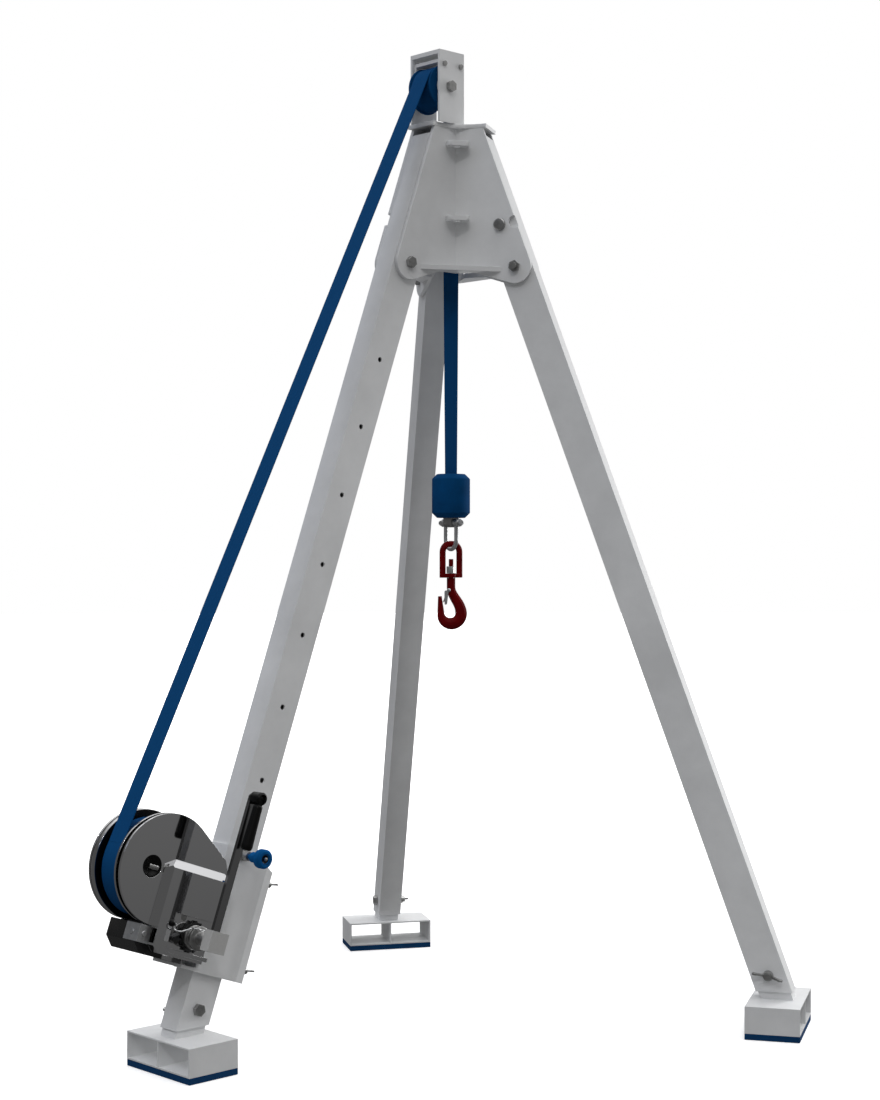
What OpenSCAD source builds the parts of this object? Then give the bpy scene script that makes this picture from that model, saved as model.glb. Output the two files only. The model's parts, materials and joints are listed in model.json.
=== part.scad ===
// Rescue tripod with a belt hand winch on one leg.
// Millimetres, +Z up. The origin is on the hoist axis at floor level.
// The winch leg points to -Y, and the other two follow at 120 degrees each.

/* [Legs] */
// Lean of each leg from the vertical, in degrees
leg_lean = 20; // [19:0.5:21]
// Radius of the fold pivots about the hoist axis
pivot_r = 169.5; // [160:0.5:180]
// Width of the leg tube, across the leg
leg_w = 60; // [56:1:70]
// Depth of the leg tube, in the plane of its lean
leg_d = 80; // [70:1:90]
// Wall of the leg tube
leg_wall = 4; // [3:0.5:6]
// Length of the leg tube
leg_len = 2110; // [2060:10:2130]
// Distance along the leg from the floor to the tube's lower end
leg_start = 114; // [108:1:122]
// Distance from the tube's upper end down to the fold pivot
pivot_down = 322; // [300:2:340]
// Angle through which a leg folds, up to hanging straight down
fold_angle = 20; // [15:1:22]

/* [Index holes] */
// Diameter of an index hole in the winch leg
index_d = 12; // [10:0.5:16]
// Spacing of the index holes
index_pitch = 168; // [150:1:180]
// Number of index holes
index_count = 8; // [5:1:8]
// Distance along the leg from the floor to the lowest index hole
index_s = 478; // [470:1:500]

/* [Feet] */
// Width of a foot box, across the leg
foot_w = 228; // [200:2:240]
// Depth of a foot box, towards the hoist axis
foot_d = 126; // [110:2:140]
// Height of a foot box with its pad
foot_h = 76; // [66:1:80]
// Wall of a foot box and of its stub
foot_wall = 4; // [3:0.5:6]
// Thickness of the rubber pad
pad_t = 14; // [8:1:20]
// Length of the stub inside the leg tube
stub_len = 100; // [70:5:140]
// Height of the foot bolt above the tube's lower end
foot_bolt_up = 25; // [22:1:40]
// Span of a foot bolt's wing nut
wing_span = 72; // [60:1:84]
// Turn of the wing nuts on the foot bolts, in degrees
wing_turn = -32; // [-40:1:20]

/* [Head] */
// Thickness of a cheek plate
cheek_t = 10; // [8:1:12]
// Thickness of the three-lobed top plate
top_t = 10; // [8:1:14]
// Radius of the top plate at the tip of a lobe
lobe_r = 100; // [96:1:120]
// Width of a lobe of the top plate
lobe_w = 88; // [84:1:100]
// Radius of the top plate between its lobes
waist_r = 61; // [56:1:64]
// Height by which the cheeks' valley ends above the pivots
valley_up = 12; // [4:1:30]
// Thickness of gussets and anchor lugs
gusset_t = 12; // [8:1:14]
// Gap from a gusset's corner to the head of a pivot bolt
gusset_gap = 18; // [12:1:30]
// Width of an anchor lug
lug_w = 54; // [44:1:60]
// Reach of an anchor lug from the hoist axis
lug_reach = 86; // [80:1:100]
// Diameter of the hole in an anchor lug
lug_hole_d = 16; // [12:1:20]
// Depths of the two rows of lugs below the top plate
lug_drop = [34, 211];
// Diameter of the lock pin
lock_d = 28; // [24:1:30]
// Height of the lock pin above the pivot
lock_up = 107; // [100:1:130]
// Lock pin travel for one radian of fold
lock_rate = 60; // [56:1:70]
// Diameter of pivot, foot and roller bolts
bolt_d = 16; // [12:1:18]

/* [Roller] */
// Outer width of the roller box
box_w = 102; // [96:1:110]
// Depth of the roller box
box_d = 80; // [74:1:90]
// Height of the roller box above the top plate
box_h = 170; // [168:1:185]
// Thickness of the roller box's cheeks
box_t = 6; // [5:0.5:8]
// Thickness of the roller box's top
box_top_t = 10; // [8:1:12]
// Height of the roller's axis above the top plate
roller_up = 86; // [80:1:90]
// Radius of the belt's middle layer on the roller
roller_wrap_r = 50.5; // [48:0.5:53]
// Height of the roller's flanges above its barrel
roller_lip = 5; // [3:0.5:6]
// Thickness of the roller's flanges
roller_flange_t = 5; // [4:0.5:7]
// Thickness of the spacer between roller and cheek
spacer_t = 7; // [5:0.5:8]
// Radius of the spacer
spacer_r = 31; // [24:1:36]

/* [Belt] */
// Width of the belt
belt_w = 52; // [45:1:54]
// Thickness of the belt
belt_t = 3; // [2:0.1:3.5]
// Radius of the belt's middle layer where it leaves the drum
coil_r = 106; // [96:1:108]
// Gap between the layers of the winding
coil_gap = 0.5; // [0.45:0.05:0.8]
// Number of loose outer layers over the plain core of the winding
coil_turns = 3; // [2:1:5]
// Turn of the belt from the roller to its eye, in degrees
belt_twist = 11; // [0:1:20]

/* [Winch] */
// Distance of the drum axis from the leg's centreline
drum_n = 198.5; // [192:0.5:208]
// Depth of the drum axis below the lowest index hole
drum_down = 77; // [70:1:80]
// Radius of the drum's flanges and of the side plates
flange_r = 118; // [112:1:120]
// Thickness of a drum flange
flange_t = 6; // [5:0.5:8]
// Inner width of the drum between its flanges
drum_w = 72; // [64:1:76]
// Radius of the drum's barrel
barrel_r = 40; // [30:1:50]
// Diameter of the drum's axle
axle_d = 25; // [20:1:30]
// Thickness of the winch's side plates
plate_t = 6; // [4:0.5:8]
// Module of the gears
gear_m = 3; // [3:0.1:3.2]
// Face width of the gears
gear_w = 8; // [6:0.5:10]
// Teeth of the drum gear
drum_teeth = 60; // [58:1:60]
// Teeth of the idler gear
idler_teeth = 15; // [15:2:17]
// Teeth of the crank pinion
pinion_teeth = 16; // [16:2:18]
// Direction from the drum's axis to the crank, in degrees below the line to the leg
train_angle = 48.5; // [46:0.5:50]
// Diameter of the crank shaft
shaft_d = 20; // [16:1:22]
// Height of the gear cover over the side plate
cover_h = 20; // [16:1:26]
// Bevel of the gear cover's edges
cover_bevel = 18; // [8:1:20]
// Radius of the ratchet wheel
ratchet_r = 34; // [28:1:36]
// Teeth of the ratchet wheel
ratchet_teeth = 16; // [12:1:20]

/* [Crank] */
// Distance of the crank arm from the middle of the leg
arm_out = 147; // [142:1:156]
// Thickness of the crank arm
arm_t = 9; // [6:0.5:10]
// Width of the crank arm
arm_w = 18; // [16:1:22]
// Length of the crank arm between its axes
arm_len = 308; // [260:2:320]
// Side of the square crank hub
hub_w = 44; // [38:1:48]
// Length of the crank hub
hub_l = 28; // [22:1:32]
// Length of the grip
grip_l = 96; // [80:1:120]
// Diameter of the grip's thick end
grip_d = 25; // [20:1:28]
// Diameter of the handle knuckle
knuckle_d = 27; // [26:1:32]

/* [Carrier] */
// Thickness of the carrier's walls
carrier_t = 5; // [4:0.5:6]
// Height of the carrier above the index plunger
carrier_above = 13; // [12:1:20]
// Depth of the carrier below the index plunger
carrier_below = 264; // [256:1:270]
// Room behind the leg inside the carrier
carrier_back = 58.3; // [48:0.1:64]
// Depth of the bevels at the carrier's rear corners
carrier_bevel = 24; // [16:1:28]
// Width by which those bevels draw the carrier in
carrier_taper = 7; // [4:1:12]
// Height by which the carrier's upper edge drops to the rear
carrier_slope = 30; // [5:1:34]
// Heights of the two clamp screws below the index plunger
clamp_down = [42, 236];
// Diameter of the clamp screws
clamp_d = 10; // [8:0.5:12]
// Span of a clamp screw's wings
clamp_span = 46; // [36:1:56]
// Diameter of the index plunger's pin
plunger_d = 10; // [8:0.5:11]
// Travel of the index plunger
plunger_travel = 9; // [6:0.5:10]
// Diameter of the plunger's knob
knob_d = 42; // [30:1:46]

/* [Hook] */
// Height of the buffer's top above the floor
buffer_top_z = 1297; // [1200:1:1400]
// Diameter of the buffer
buffer_d = 92; // [84:1:100]
// Height of the buffer
buffer_h = 106; // [90:1:120]
// Chamfer of the buffer
buffer_chamfer = 12; // [6:1:16]
// Distance from the buffer down to the shackle pin
pin_drop = 12; // [10:1:16]
// Spacing of the shackle's legs
shackle_w = 47; // [44:1:54]
// Diameter of the shackle's rod
shackle_d = 10; // [8:0.5:12]
// Distance from the shackle pin to the inside of the bow
shackle_h = 59; // [54:1:66]
// Direction of the shackle's plane
shackle_az = -11; // [-30:1:10]
// Direction of the bail's plane
bail_az = 79; // [60:1:95]
// Direction of the hook's plane
hook_az = 45; // [35:1:60]
// Outer width of the bail
bail_w = 63; // [58:1:70]
// Height of the bail
bail_h = 89; // [84:1:96]
// Diameter of the bail's rod
bail_d = 15; // [12:0.5:16]
// Straight length at the top of the bail
bail_flat = 8; // [6:1:12]
// Thickness of the bail's foot
bail_foot_t = 10; // [8:0.5:12]
// Distance from the bail down to the middle of the hook's bowl
hook_drop = 87; // [80:1:94]
// Radius of the hook's bowl at the middle of its rod
hook_r = 24.5; // [23:0.5:28]
// Thickness of the hook at the bottom of its bowl
hook_d = 29; // [24:0.5:31]
// Thickness of the hook's point
hook_tip_d = 9; // [7:0.5:11]
// Diameter of the hook's neck
hook_neck_d = 20.5; // [18:0.5:22]
// Opening angle of the hook's latch
latch_open = 22; // [10:1:26]

/* [Clearances] */
// Gap between parts that slide on each other
slide_gap = 0.5; // [0.3:0.1:0.8]
// Radial gap of a shaft in its bore
run_gap = 0.05; // [0.03:0.01:0.08]
// Gap between soft or turning parts and what lies beside them
side_gap = 0.4; // [0.3:0.05:0.6]

/* [Hidden] */
$fn = 48;
LEG_AZ = [-90, 30, 150];
winch_az = LEG_AZ[0];

// A point of a leg's own frame as [radius, height]: n is outward from the centreline, s is up the leg
function leg_rz(n, s) = [
    leg_floor_r - s * sin(leg_lean) + n * cos(leg_lean),
    s * cos(leg_lean) + n * sin(leg_lean)
];
function polar(r, a) = [r * cos(a), r * sin(a)];
// Point where a line from p touches the circle of radius r about c, on the side given by 1 or -1
function tangent_point(c, r, p, side) =
    let (v = p - c, a = atan2(v[1], v[0]) + side * acos(r / norm(v)))
    c + polar(r, a);

leg_top_s = leg_start + leg_len;
pivot_s = leg_top_s - pivot_down;
leg_floor_r = pivot_r + pivot_s * sin(leg_lean);
pivot_rz = leg_rz(0, pivot_s);
lock_s = pivot_s + lock_up;
notch_ns = [lock_up * sin(fold_angle), pivot_s + lock_up * cos(fold_angle)];
fold_gap = 8;
top_z = pivot_rz[1] + norm([pivot_down, leg_d / 2]) + fold_gap;
head_z = top_z + top_t;
cheek_in = leg_w / 2 + slide_gap;
cheek_out = cheek_in + cheek_t;
valley_z = pivot_rz[1] + valley_up;
lug_hole_r = (cheek_out / cos(30) + lug_reach) / 2;
bolt_r = bolt_d / 2;
hex_f = bolt_d * 1.5;
hex_h = bolt_d * 0.62;
gusset_reach = (pivot_r - hex_f / 2 / cos(30) - gusset_gap + 1.5 * cheek_out / cos(30)) / 2;
washer_t = 2.5;

// Lock pin nose: a cone that draws out of the leg faster than the leg carries it sideways
lock_reach = 9;
nose_len = 3;
nose_slope = 1.07 * lock_up / lock_rate;
nose_tip_r = lock_d / 2 - 3 - nose_slope * nose_len;
nose_gap = 0.4;

// Roller and belt
roller_y = -roller_wrap_r;
roller_z = head_z + roller_up;
roller_r = roller_wrap_r - belt_t / 2 - side_gap;
box_in = box_w / 2 - box_t;
roller_half = box_in - spacer_t - side_gap;
drum_s = index_s - drum_down;
drum_rz = leg_rz(drum_n, drum_s);
drum_yz = [-drum_rz[0], drum_rz[1]];
roller_yz = [roller_y, roller_z];
run_v = roller_yz - drum_yz;
run_l = norm(run_v);
run_e = run_v / run_l;
run_a = asin((coil_r - roller_wrap_r) / run_l);
run_n = cos(run_a) * [-run_e[1], run_e[0]] + sin(run_a) * run_e;
run_angle = atan2(run_n[1], run_n[0]);
run_from = drum_yz + coil_r * run_n;
run_to = roller_yz + roller_wrap_r * run_n;
lead_len = 360;
run_split = run_to + lead_len / norm(run_from - run_to) * (run_from - run_to);
wrap_turn = 250;
belt_gap = 0.3;
coil_out = coil_r - belt_t / 2 - side_gap;
coil_pitch = belt_t + coil_gap;
coil_core = coil_out - belt_t - coil_turns * coil_pitch - coil_gap;
echo(least_gap_in_winding = coil_pitch - belt_t);

// Winch frame, in the winch leg's frame
front_n = leg_d / 2 + slide_gap + carrier_t;
base_t = 8;
base_n = front_n + base_t;
drum_half = drum_w / 2;
flange_out = drum_half + flange_t;
gear_in = flange_out;
gear_gap = 1;
plate_in = gear_in + gear_w + 2 * gear_gap;
plate_out = plate_in + plate_t;
idler_dist = gear_m * (drum_teeth + idler_teeth) / 2;
crank_dist = idler_dist + gear_m * (idler_teeth + pinion_teeth) / 2;
train_dir = train_angle - 180;
idler_ns = [drum_n, drum_s] + polar(idler_dist, train_dir);
crank_ns = [drum_n, drum_s] + polar(crank_dist, train_dir);
plate_low_s = index_s - carrier_below + 17.5;
plate_peak_s = drum_s + 50;
base_low_s = index_s - carrier_below + 1;
shelf_t = 7;
shelf_n = base_n + 38;
beam_n = [drum_n - 52, drum_n + 27];
beam_top_s = drum_s - flange_r - 2;
beam_chamfer = 21;
end_in = 9;
end_w = 30;
end_h = 37;
journal_d = 14;
cover_top_s = drum_s + 26;
cover_left_n = drum_n + 9;
cover_low_n = drum_n - 3.5;
heel_cut = [15, 12.5];
window_r = 23.5;
window_ns = [drum_n + 40, drum_s - 1.5];
cover_cut = 23;
cover_wall = 3;
cover_foot_n = crank_ns[0] + ratchet_r + 34;
cover_low_s = crank_ns[1] + ratchet_r + 5;
floor_top_s = crank_ns[1] - ratchet_r - 1;
floor_t = 9;
ratchet_t = 8;
disc_t = 6;

// Crank and handle
arm_n = crank_ns[0] + hub_w / 2 - arm_w / 2;
arm_top_s = crank_ns[1] + arm_len;
hub_face = 3;
stub_r = 5;
stub_out = 8;
knuckle_l = 30;
knuckle_edge = 3.5;
knuckle_in = arm_out + arm_t + side_gap;
hinge_x = knuckle_in + knuckle_l - 10;
hinge_r = 3;
tongue_r = 8;
tongue_w = 10;
grip_start = knuckle_d / 2 + 1.5;

// Plunger and clamp screws
side_out = leg_w / 2 + slide_gap + carrier_t;
back_n = -leg_d / 2 - slide_gap - carrier_back;
plunger_rest = 1;
plunger_body_l = 24;
plunger_free = plunger_travel + 2;
knob_stem_l = 25;
knob_disc_l = 22;
knob_stem_d = 23;

// Hook chain
buffer_low_z = buffer_top_z - buffer_h;
belt_end_z = buffer_top_z - 8;
pin_z = buffer_low_z - pin_drop;
bow_z = pin_z - shackle_h + shackle_w / 2 - shackle_d / 2;
bail_bar_z = pin_z - shackle_h + side_gap + bail_d / 2;
bail_top_z = bail_bar_z + bail_d / 2;
bail_low_z = bail_top_z - bail_h;
bail_r = (bail_w - bail_d) / 2;
bail_turn_r = bail_r - bail_flat / 2;
arch_z = bail_bar_z - bail_turn_r;
bowl_z = bail_low_z - hook_drop;
shank_d = 11;
shank_nut_h = 17;
pin_over = 19;
eye_w = shackle_w - shackle_d - 2 * side_gap;

PAINT = "gainsboro";
STEEL = "silver";
POLISH = "lightslategray";
BLUE = "steelblue";
BLACK = "dimgray";
RED = "firebrick";

// Children in a leg's own frame: x outward, y across, z up the leg
module on_leg(az) {
    rotate([0, 0, az]) translate([leg_floor_r, 0, 0]) rotate([0, -leg_lean, 0]) children();
}
// Children drawn as [outward, up], extruded across the leg from t0 to t1
module across(t0, t1) {
    translate([0, t1, 0]) rotate([90, 0, 0]) linear_extrude(t1 - t0) children();
}
module rod_across(ns, r, t0, t1) {
    across(t0, t1) translate(ns) circle(r);
}
module hex_across(ns, flats, t0, t1) {
    across(t0, t1) translate(ns) circle(r = flats / 2 / cos(30), $fn = 6);
}
// Children drawn as [radius, height] in a leg's upright plane, extruded across it
module upright(az, t0, t1) {
    rotate([0, 0, az]) across(t0, t1) children();
}
// Children placed in the winch's own frame
module on_winch() {
    on_leg(winch_az) children();
}
// A ring or disc along the hoist axis
module ring_z(r, z0, z1) {
    translate([0, 0, z0]) cylinder(r = r, h = z1 - z0);
}

// Head

module cheek_outline() {
    outer_top = [leg_rz(leg_d / 2, (top_z - leg_d / 2 * sin(leg_lean)) / cos(leg_lean))[0], top_z];
    valley = [0, valley_z];
    polygon([
        [0, top_z], outer_top, leg_rz(leg_d / 2, pivot_s), pivot_rz,
        tangent_point(pivot_rz, leg_d / 2, valley, 1), valley
    ]);
    translate(pivot_rz) circle(leg_d / 2 + 0.05);
}
// One V plate: the counter-clockwise cheek of one leg and the clockwise cheek of the next
module v_cheek(az) {
    reach = leg_floor_r;
    mid = az + 60;
    far = az + 120;
    side = polar(reach, az);
    other = polar(reach, far);
    t1 = polar(1, az + 90);
    t2 = polar(1, far + 90);
    difference() {
        intersection() {
            linear_extrude(top_z) polygon([
                polar(cheek_in / cos(30), mid), side + cheek_in * t1, side + cheek_out * t1,
                polar(cheek_out / cos(30), mid), other - cheek_out * t2, other - cheek_in * t2
            ]);
            union() {
                upright(az, 0, cheek_out + 1) cheek_outline();
                upright(far, -cheek_out - 1, 0) cheek_outline();
            }
        }
        on_leg(az) rod_across([0, pivot_s], bolt_r + run_gap, 0, cheek_out + 1);
        on_leg(far) {
            rod_across([0, pivot_s], bolt_r + run_gap, -cheek_out - 1, 0);
            rod_across([0, lock_s], lock_d / 2 + run_gap, -cheek_out - 1, 0);
            rod_across(notch_ns, lock_d / 2 + slide_gap, -cheek_out - 1, 0);
        }
    }
}
module cheek_wr() { color(PAINT) v_cheek(LEG_AZ[0]); }
module cheek_rb() { color(PAINT) v_cheek(LEG_AZ[1]); }
module cheek_bw() { color(PAINT) v_cheek(LEG_AZ[2]); }

module top_plate() {
    corner = [lobe_r * cos(60) + lobe_w / 2 * sin(60), lobe_r * sin(60) - lobe_w / 2 * cos(60)];
    dip = corner[0] - waist_r;
    hollow_r = (corner[1] * corner[1] + dip * dip) / 2 / dip;
    color(PAINT) difference() {
        translate([0, 0, top_z]) linear_extrude(top_t) difference() {
            union() {
                for (az = LEG_AZ) rotate(az) translate([0, -lobe_w / 2]) square([lobe_r, lobe_w]);
                polygon([for (az = LEG_AZ, side = [-1, 1]) polar(norm([lobe_r, lobe_w / 2]),
                    az + side * atan2(lobe_w / 2, lobe_r))]);
            }
            for (az = LEG_AZ) rotate(az + 60) translate([waist_r + hollow_r, 0]) circle(hollow_r, $fn = 96);
        }
        translate([-belt_w / 2 - 6, -8, top_z - 1]) cube([belt_w + 12, 16, top_t + 2]);
    }
}
// Chord plate in the valley between two legs, out to a given reach
module valley_plate(az, reach, z0, t) {
    half = (reach - cheek_out / cos(30)) * tan(60);
    rotate([0, 0, az + 60]) translate([0, 0, z0]) linear_extrude(t)
        polygon([[cheek_out / cos(30), 0], [reach, -half], [reach, half]]);
}
// Eye tab in the valley, its top a given drop below the top plate
module anchor_lug(az, drop) {
    foot = cheek_out / cos(30);
    round = 10;
    rotate([0, 0, az + 60]) translate([0, 0, top_z - drop - gusset_t]) linear_extrude(gusset_t) difference() {
        union() {
            polygon([
                [foot, 0], [foot + lug_w / 2 / tan(60), -lug_w / 2], [lug_reach - round, -lug_w / 2],
                [lug_reach - round, lug_w / 2], [foot + lug_w / 2 / tan(60), lug_w / 2]
            ]);
            translate([lug_reach - round - 1, -lug_w / 2 + round]) square([round + 1, lug_w - 2 * round]);
            for (side = [-1, 1]) translate([lug_reach - round, side * (lug_w / 2 - round)]) circle(round);
        }
        translate([lug_hole_r, 0]) circle(lug_hole_d / 2);
    }
}
module head_gussets() {
    color(PAINT) for (az = LEG_AZ) {
        valley_plate(az, gusset_reach, pivot_rz[1] - gusset_t, gusset_t);
        for (drop = lug_drop) anchor_lug(az, drop);
    }
}

// Roller

guard_z = roller_z + roller_wrap_r + belt_t / 2 + 4;
guard_t = 8;
guard_side_t = spacer_t - 2;
guard_back = 8;
screw_d = 8;
screw_in = guard_side_t - 1;
screw_z = guard_z - 4;
guard_low_z = screw_z - screw_d - 1;
box_y = roller_y + 5.5;
screw_y = [box_y - box_d * 0.3, box_y + box_d * 0.35];

module roller_box() {
    color(PAINT) difference() {
        union() {
            for (side = [-1, 1])
                translate([side * (box_w - box_t) / 2 - box_t / 2, box_y - box_d / 2, head_z])
                    cube([box_t, box_d, box_h]);
            translate([-box_w / 2, box_y - box_d / 2, head_z + box_h - box_top_t])
                cube([box_w, box_d, box_top_t]);
            // belt guard over the roller, a channel with its flanges on the cheeks
            translate([-box_in - 1, box_y - box_d / 2 + guard_back, guard_z])
                cube([2 * box_in + 2, box_d - 2 * guard_back, guard_t]);
            for (side = [-1, 1])
                translate([side * (box_in - guard_side_t / 2 + 0.5) - guard_side_t / 2 - 0.5,
                    box_y - box_d / 2 + guard_back, guard_low_z])
                    cube([guard_side_t + 1, box_d - 2 * guard_back, guard_z + guard_t - guard_low_z]);
        }
        translate([-box_w, roller_y, roller_z]) rotate([0, 90, 0]) cylinder(r = bolt_r + run_gap, h = 2 * box_w);
        for (side = [-1, 1], y = screw_y)
            translate([side * (box_in - screw_in), y, screw_z]) rotate([0, side * 90, 0])
                cylinder(d = screw_d + 2 * run_gap, h = box_w);
    }
}
module roller_spacers() {
    color(PAINT) for (side = [-1, 1])
        translate([side * (box_in - spacer_t / 2), roller_y, roller_z]) rotate([0, 90, 0]) difference() {
            cylinder(r = spacer_r, h = spacer_t, center = true);
            cylinder(r = bolt_r + run_gap, h = 2 * spacer_t, center = true);
        }
}
// Bolt along X with a hex head at +X and a nut at -X
module bolt_x(half, r) {
    rotate([0, 90, 0]) {
        translate([0, 0, -half - 1.6 * r]) cylinder(r = r, h = 2 * half + 1.6 * r + hex_h / 2);
        translate([0, 0, half]) cylinder(r = hex_f / 2 / cos(30), h = hex_h, $fn = 6);
    }
    rotate([0, 90, 0]) translate([0, 0, -half - hex_h]) difference() {
        cylinder(r = hex_f / 2 / cos(30), h = hex_h, $fn = 6);
        translate([0, 0, -1]) cylinder(r = r + run_gap, h = hex_h + 2);
    }
}
module roller_bolts() {
    color(STEEL) {
        translate([0, roller_y, roller_z]) bolt_x(box_w / 2, bolt_r);
        for (side = [-1, 1], y = screw_y)
            translate([side * box_w / 2, y, screw_z]) rotate([0, side * 90, 0]) {
                cylinder(d = screw_d * 1.6, h = 4);
                translate([0, 0, -box_t - screw_in + 1]) cylinder(d = screw_d, h = box_t + screw_in);
            }
    }
}
module roller() {
    lip_r = roller_r + roller_lip;
    bore = bolt_r + run_gap;
    h = roller_half;
    f = roller_flange_t;
    color(BLUE) translate([0, roller_y, roller_z]) rotate([0, 90, 0]) rotate_extrude($fn = 96) polygon([
        [bore, -h], [lip_r, -h], [lip_r, -h + f], [roller_r, -h + f + 1],
        [roller_r, h - f - 1], [lip_r, h - f], [lip_r, h], [bore, h]
    ]);
}
module pivot_bolts() {
    color(STEEL) for (az = LEG_AZ) on_leg(az) {
        rod_across([0, pivot_s], bolt_r, -cheek_out - washer_t - hex_h - 6, cheek_out + hex_h / 2);
        hex_across([0, pivot_s], hex_f, cheek_out, cheek_out + hex_h);
        difference() {
            hex_across([0, pivot_s], hex_f, -cheek_out - hex_h, -cheek_out);
            rod_across([0, pivot_s], bolt_r + run_gap, -cheek_out - hex_h - 1, -cheek_out + 1);
        }
    }
}
// Lock pin through the clockwise cheek, with a conical nose that seats in the leg's wall
module lock_pin(az) {
    color(STEEL) on_leg(az) translate([0, -cheek_in, lock_s]) rotate([90, 0, 0]) rotate_extrude() polygon([
        [0, -nose_len - slide_gap], [nose_tip_r, -nose_len - slide_gap],
        [nose_tip_r + nose_slope * nose_len, -slide_gap], [nose_tip_r + nose_slope * nose_len, 0],
        [lock_d / 2, 0], [lock_d / 2, cheek_t + lock_reach - 2], [lock_d / 2 - 2, cheek_t + lock_reach],
        [0, cheek_t + lock_reach]
    ]);
}
module lock_pin_w() { lock_pin(LEG_AZ[0]); }
module lock_pin_r() { lock_pin(LEG_AZ[1]); }
module lock_pin_b() { lock_pin(LEG_AZ[2]); }

// Legs

module rect_tube(d, w, wall, s0, s1) {
    translate([0, 0, s0]) linear_extrude(s1 - s0) difference() {
        square([d, w], center = true);
        square([d - 2 * wall, w - 2 * wall], center = true);
    }
}
module leg_tube(az, indexed) {
    bush_r = bolt_r + 5;
    clear_r = belt_w / 2 * cos(30) + 11;
    trim_s = (leg_floor_r - clear_r - leg_d / 2 * cos(leg_lean)) / sin(leg_lean);
    color(PAINT) on_leg(az) difference() {
        union() {
            rect_tube(leg_d, leg_w, leg_wall, leg_start, leg_top_s);
            rod_across([0, pivot_s], bush_r, -leg_w / 2 + leg_wall / 2, leg_w / 2 - leg_wall / 2);
        }
        rod_across([0, pivot_s], bolt_r + run_gap, -leg_w, leg_w);
        rod_across([0, leg_start + foot_bolt_up], bolt_r + run_gap, -leg_w, leg_w);
        translate([0, -leg_w / 2, lock_s]) rotate([-90, 0, 0])
            cylinder(r1 = nose_tip_r + nose_slope * nose_len + nose_gap, r2 = nose_tip_r + nose_gap, h = nose_len);
        rod_across([0, lock_s], nose_tip_r + nose_gap, -leg_w / 2, -leg_w / 2 + leg_wall + 1);
        if (indexed) for (i = [0 : index_count - 1])
            rod_across([0, index_s + i * index_pitch], index_d / 2, leg_w / 2 - leg_wall - 1, leg_w / 2 + 1);
        // upper inner corner, cut upright to leave room for the belt
        across(-leg_w, leg_w) polygon([
            [-leg_d / 2, trim_s], [-leg_d / 2 - 1, trim_s], [-leg_d / 2 - 1, leg_top_s + 1],
            [-leg_d / 2 + (leg_top_s + 1 - trim_s) * tan(leg_lean), leg_top_s + 1]
        ]);
    }
}
module leg_tube_w() { leg_tube(LEG_AZ[0], true); }
module leg_tube_r() { leg_tube(LEG_AZ[1], false); }
module leg_tube_b() { leg_tube(LEG_AZ[2], false); }

foot_r = leg_rz(0, foot_h / cos(leg_lean))[0];
foot_bolt_ns = [0, leg_start + foot_bolt_up];

module foot_box(az) {
    stub_d = leg_d - 2 * leg_wall - 2 * slide_gap;
    stub_w = leg_w - 2 * leg_wall - 2 * slide_gap;
    cell_w = (foot_w - 3 * foot_wall) / 2;
    cell_h = foot_h - pad_t - 2 * foot_wall;
    color(PAINT) {
        difference() {
            on_leg(az) rect_tube(stub_d, stub_w, foot_wall, 0, leg_start + stub_len);
            translate([0, 0, -foot_h]) cylinder(r = 2 * leg_floor_r, h = 2 * foot_h - foot_wall / 2);
            on_leg(az) rod_across(foot_bolt_ns, bolt_r + run_gap, -leg_w, leg_w);
        }
        rotate([0, 0, az]) translate([foot_r, 0, 0]) difference() {
            translate([-foot_d / 2, -foot_w / 2, pad_t]) cube([foot_d, foot_w, foot_h - pad_t]);
            for (side = [-1, 1])
                translate([-foot_d, side * (cell_w + foot_wall) / 2 - cell_w / 2, pad_t + foot_wall])
                    cube([2 * foot_d, cell_w, cell_h]);
        }
    }
}
module foot_w_box() { foot_box(LEG_AZ[0]); }
module foot_r_box() { foot_box(LEG_AZ[1]); }
module foot_b_box() { foot_box(LEG_AZ[2]); }

module foot_pad(az) {
    color(BLUE) rotate([0, 0, az]) translate([foot_r - foot_d / 2, -foot_w / 2, 0]) cube([foot_d, foot_w, pad_t]);
}
module foot_pad_w() { foot_pad(LEG_AZ[0]); }
module foot_pad_r() { foot_pad(LEG_AZ[1]); }
module foot_pad_b() { foot_pad(LEG_AZ[2]); }

// Wing nut with its seat at z = 0
module wing_nut(r, span) {
    difference() {
        union() {
            cylinder(r1 = r * 1.6, r2 = r * 1.25, h = r * 1.6);
            for (side = [0, 180]) rotate([0, 0, side]) rotate([90, 0, 0])
                linear_extrude(r * 0.6, center = true) union() {
                    polygon([[r * 1.1, r * 0.2], [span / 2 - r * 0.8, r * 1.4], [span / 2 - r * 0.8, r * 2.8],
                        [r * 1.1, r * 1.3]]);
                    translate([span / 2 - r * 0.8, r * 2.1]) circle(r * 0.8);
                }
        }
        translate([0, 0, -1]) cylinder(r = r + run_gap, h = 4 * r);
    }
}
module foot_bolt(az) {
    color(STEEL) on_leg(az) {
        rod_across(foot_bolt_ns, bolt_r, -leg_w / 2 - washer_t - 2 * bolt_r, leg_w / 2 + hex_h / 2);
        hex_across(foot_bolt_ns, hex_f, leg_w / 2, leg_w / 2 + hex_h);
        translate([0, -leg_w / 2, foot_bolt_ns[1]]) rotate([90, 0, 0]) rotate([0, 0, wing_turn])
            wing_nut(bolt_r, wing_span);
    }
}
module foot_bolt_w() { foot_bolt(LEG_AZ[0]); }
module foot_bolt_r() { foot_bolt(LEG_AZ[1]); }
module foot_bolt_b() { foot_bolt(LEG_AZ[2]); }

// Carrier

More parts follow.
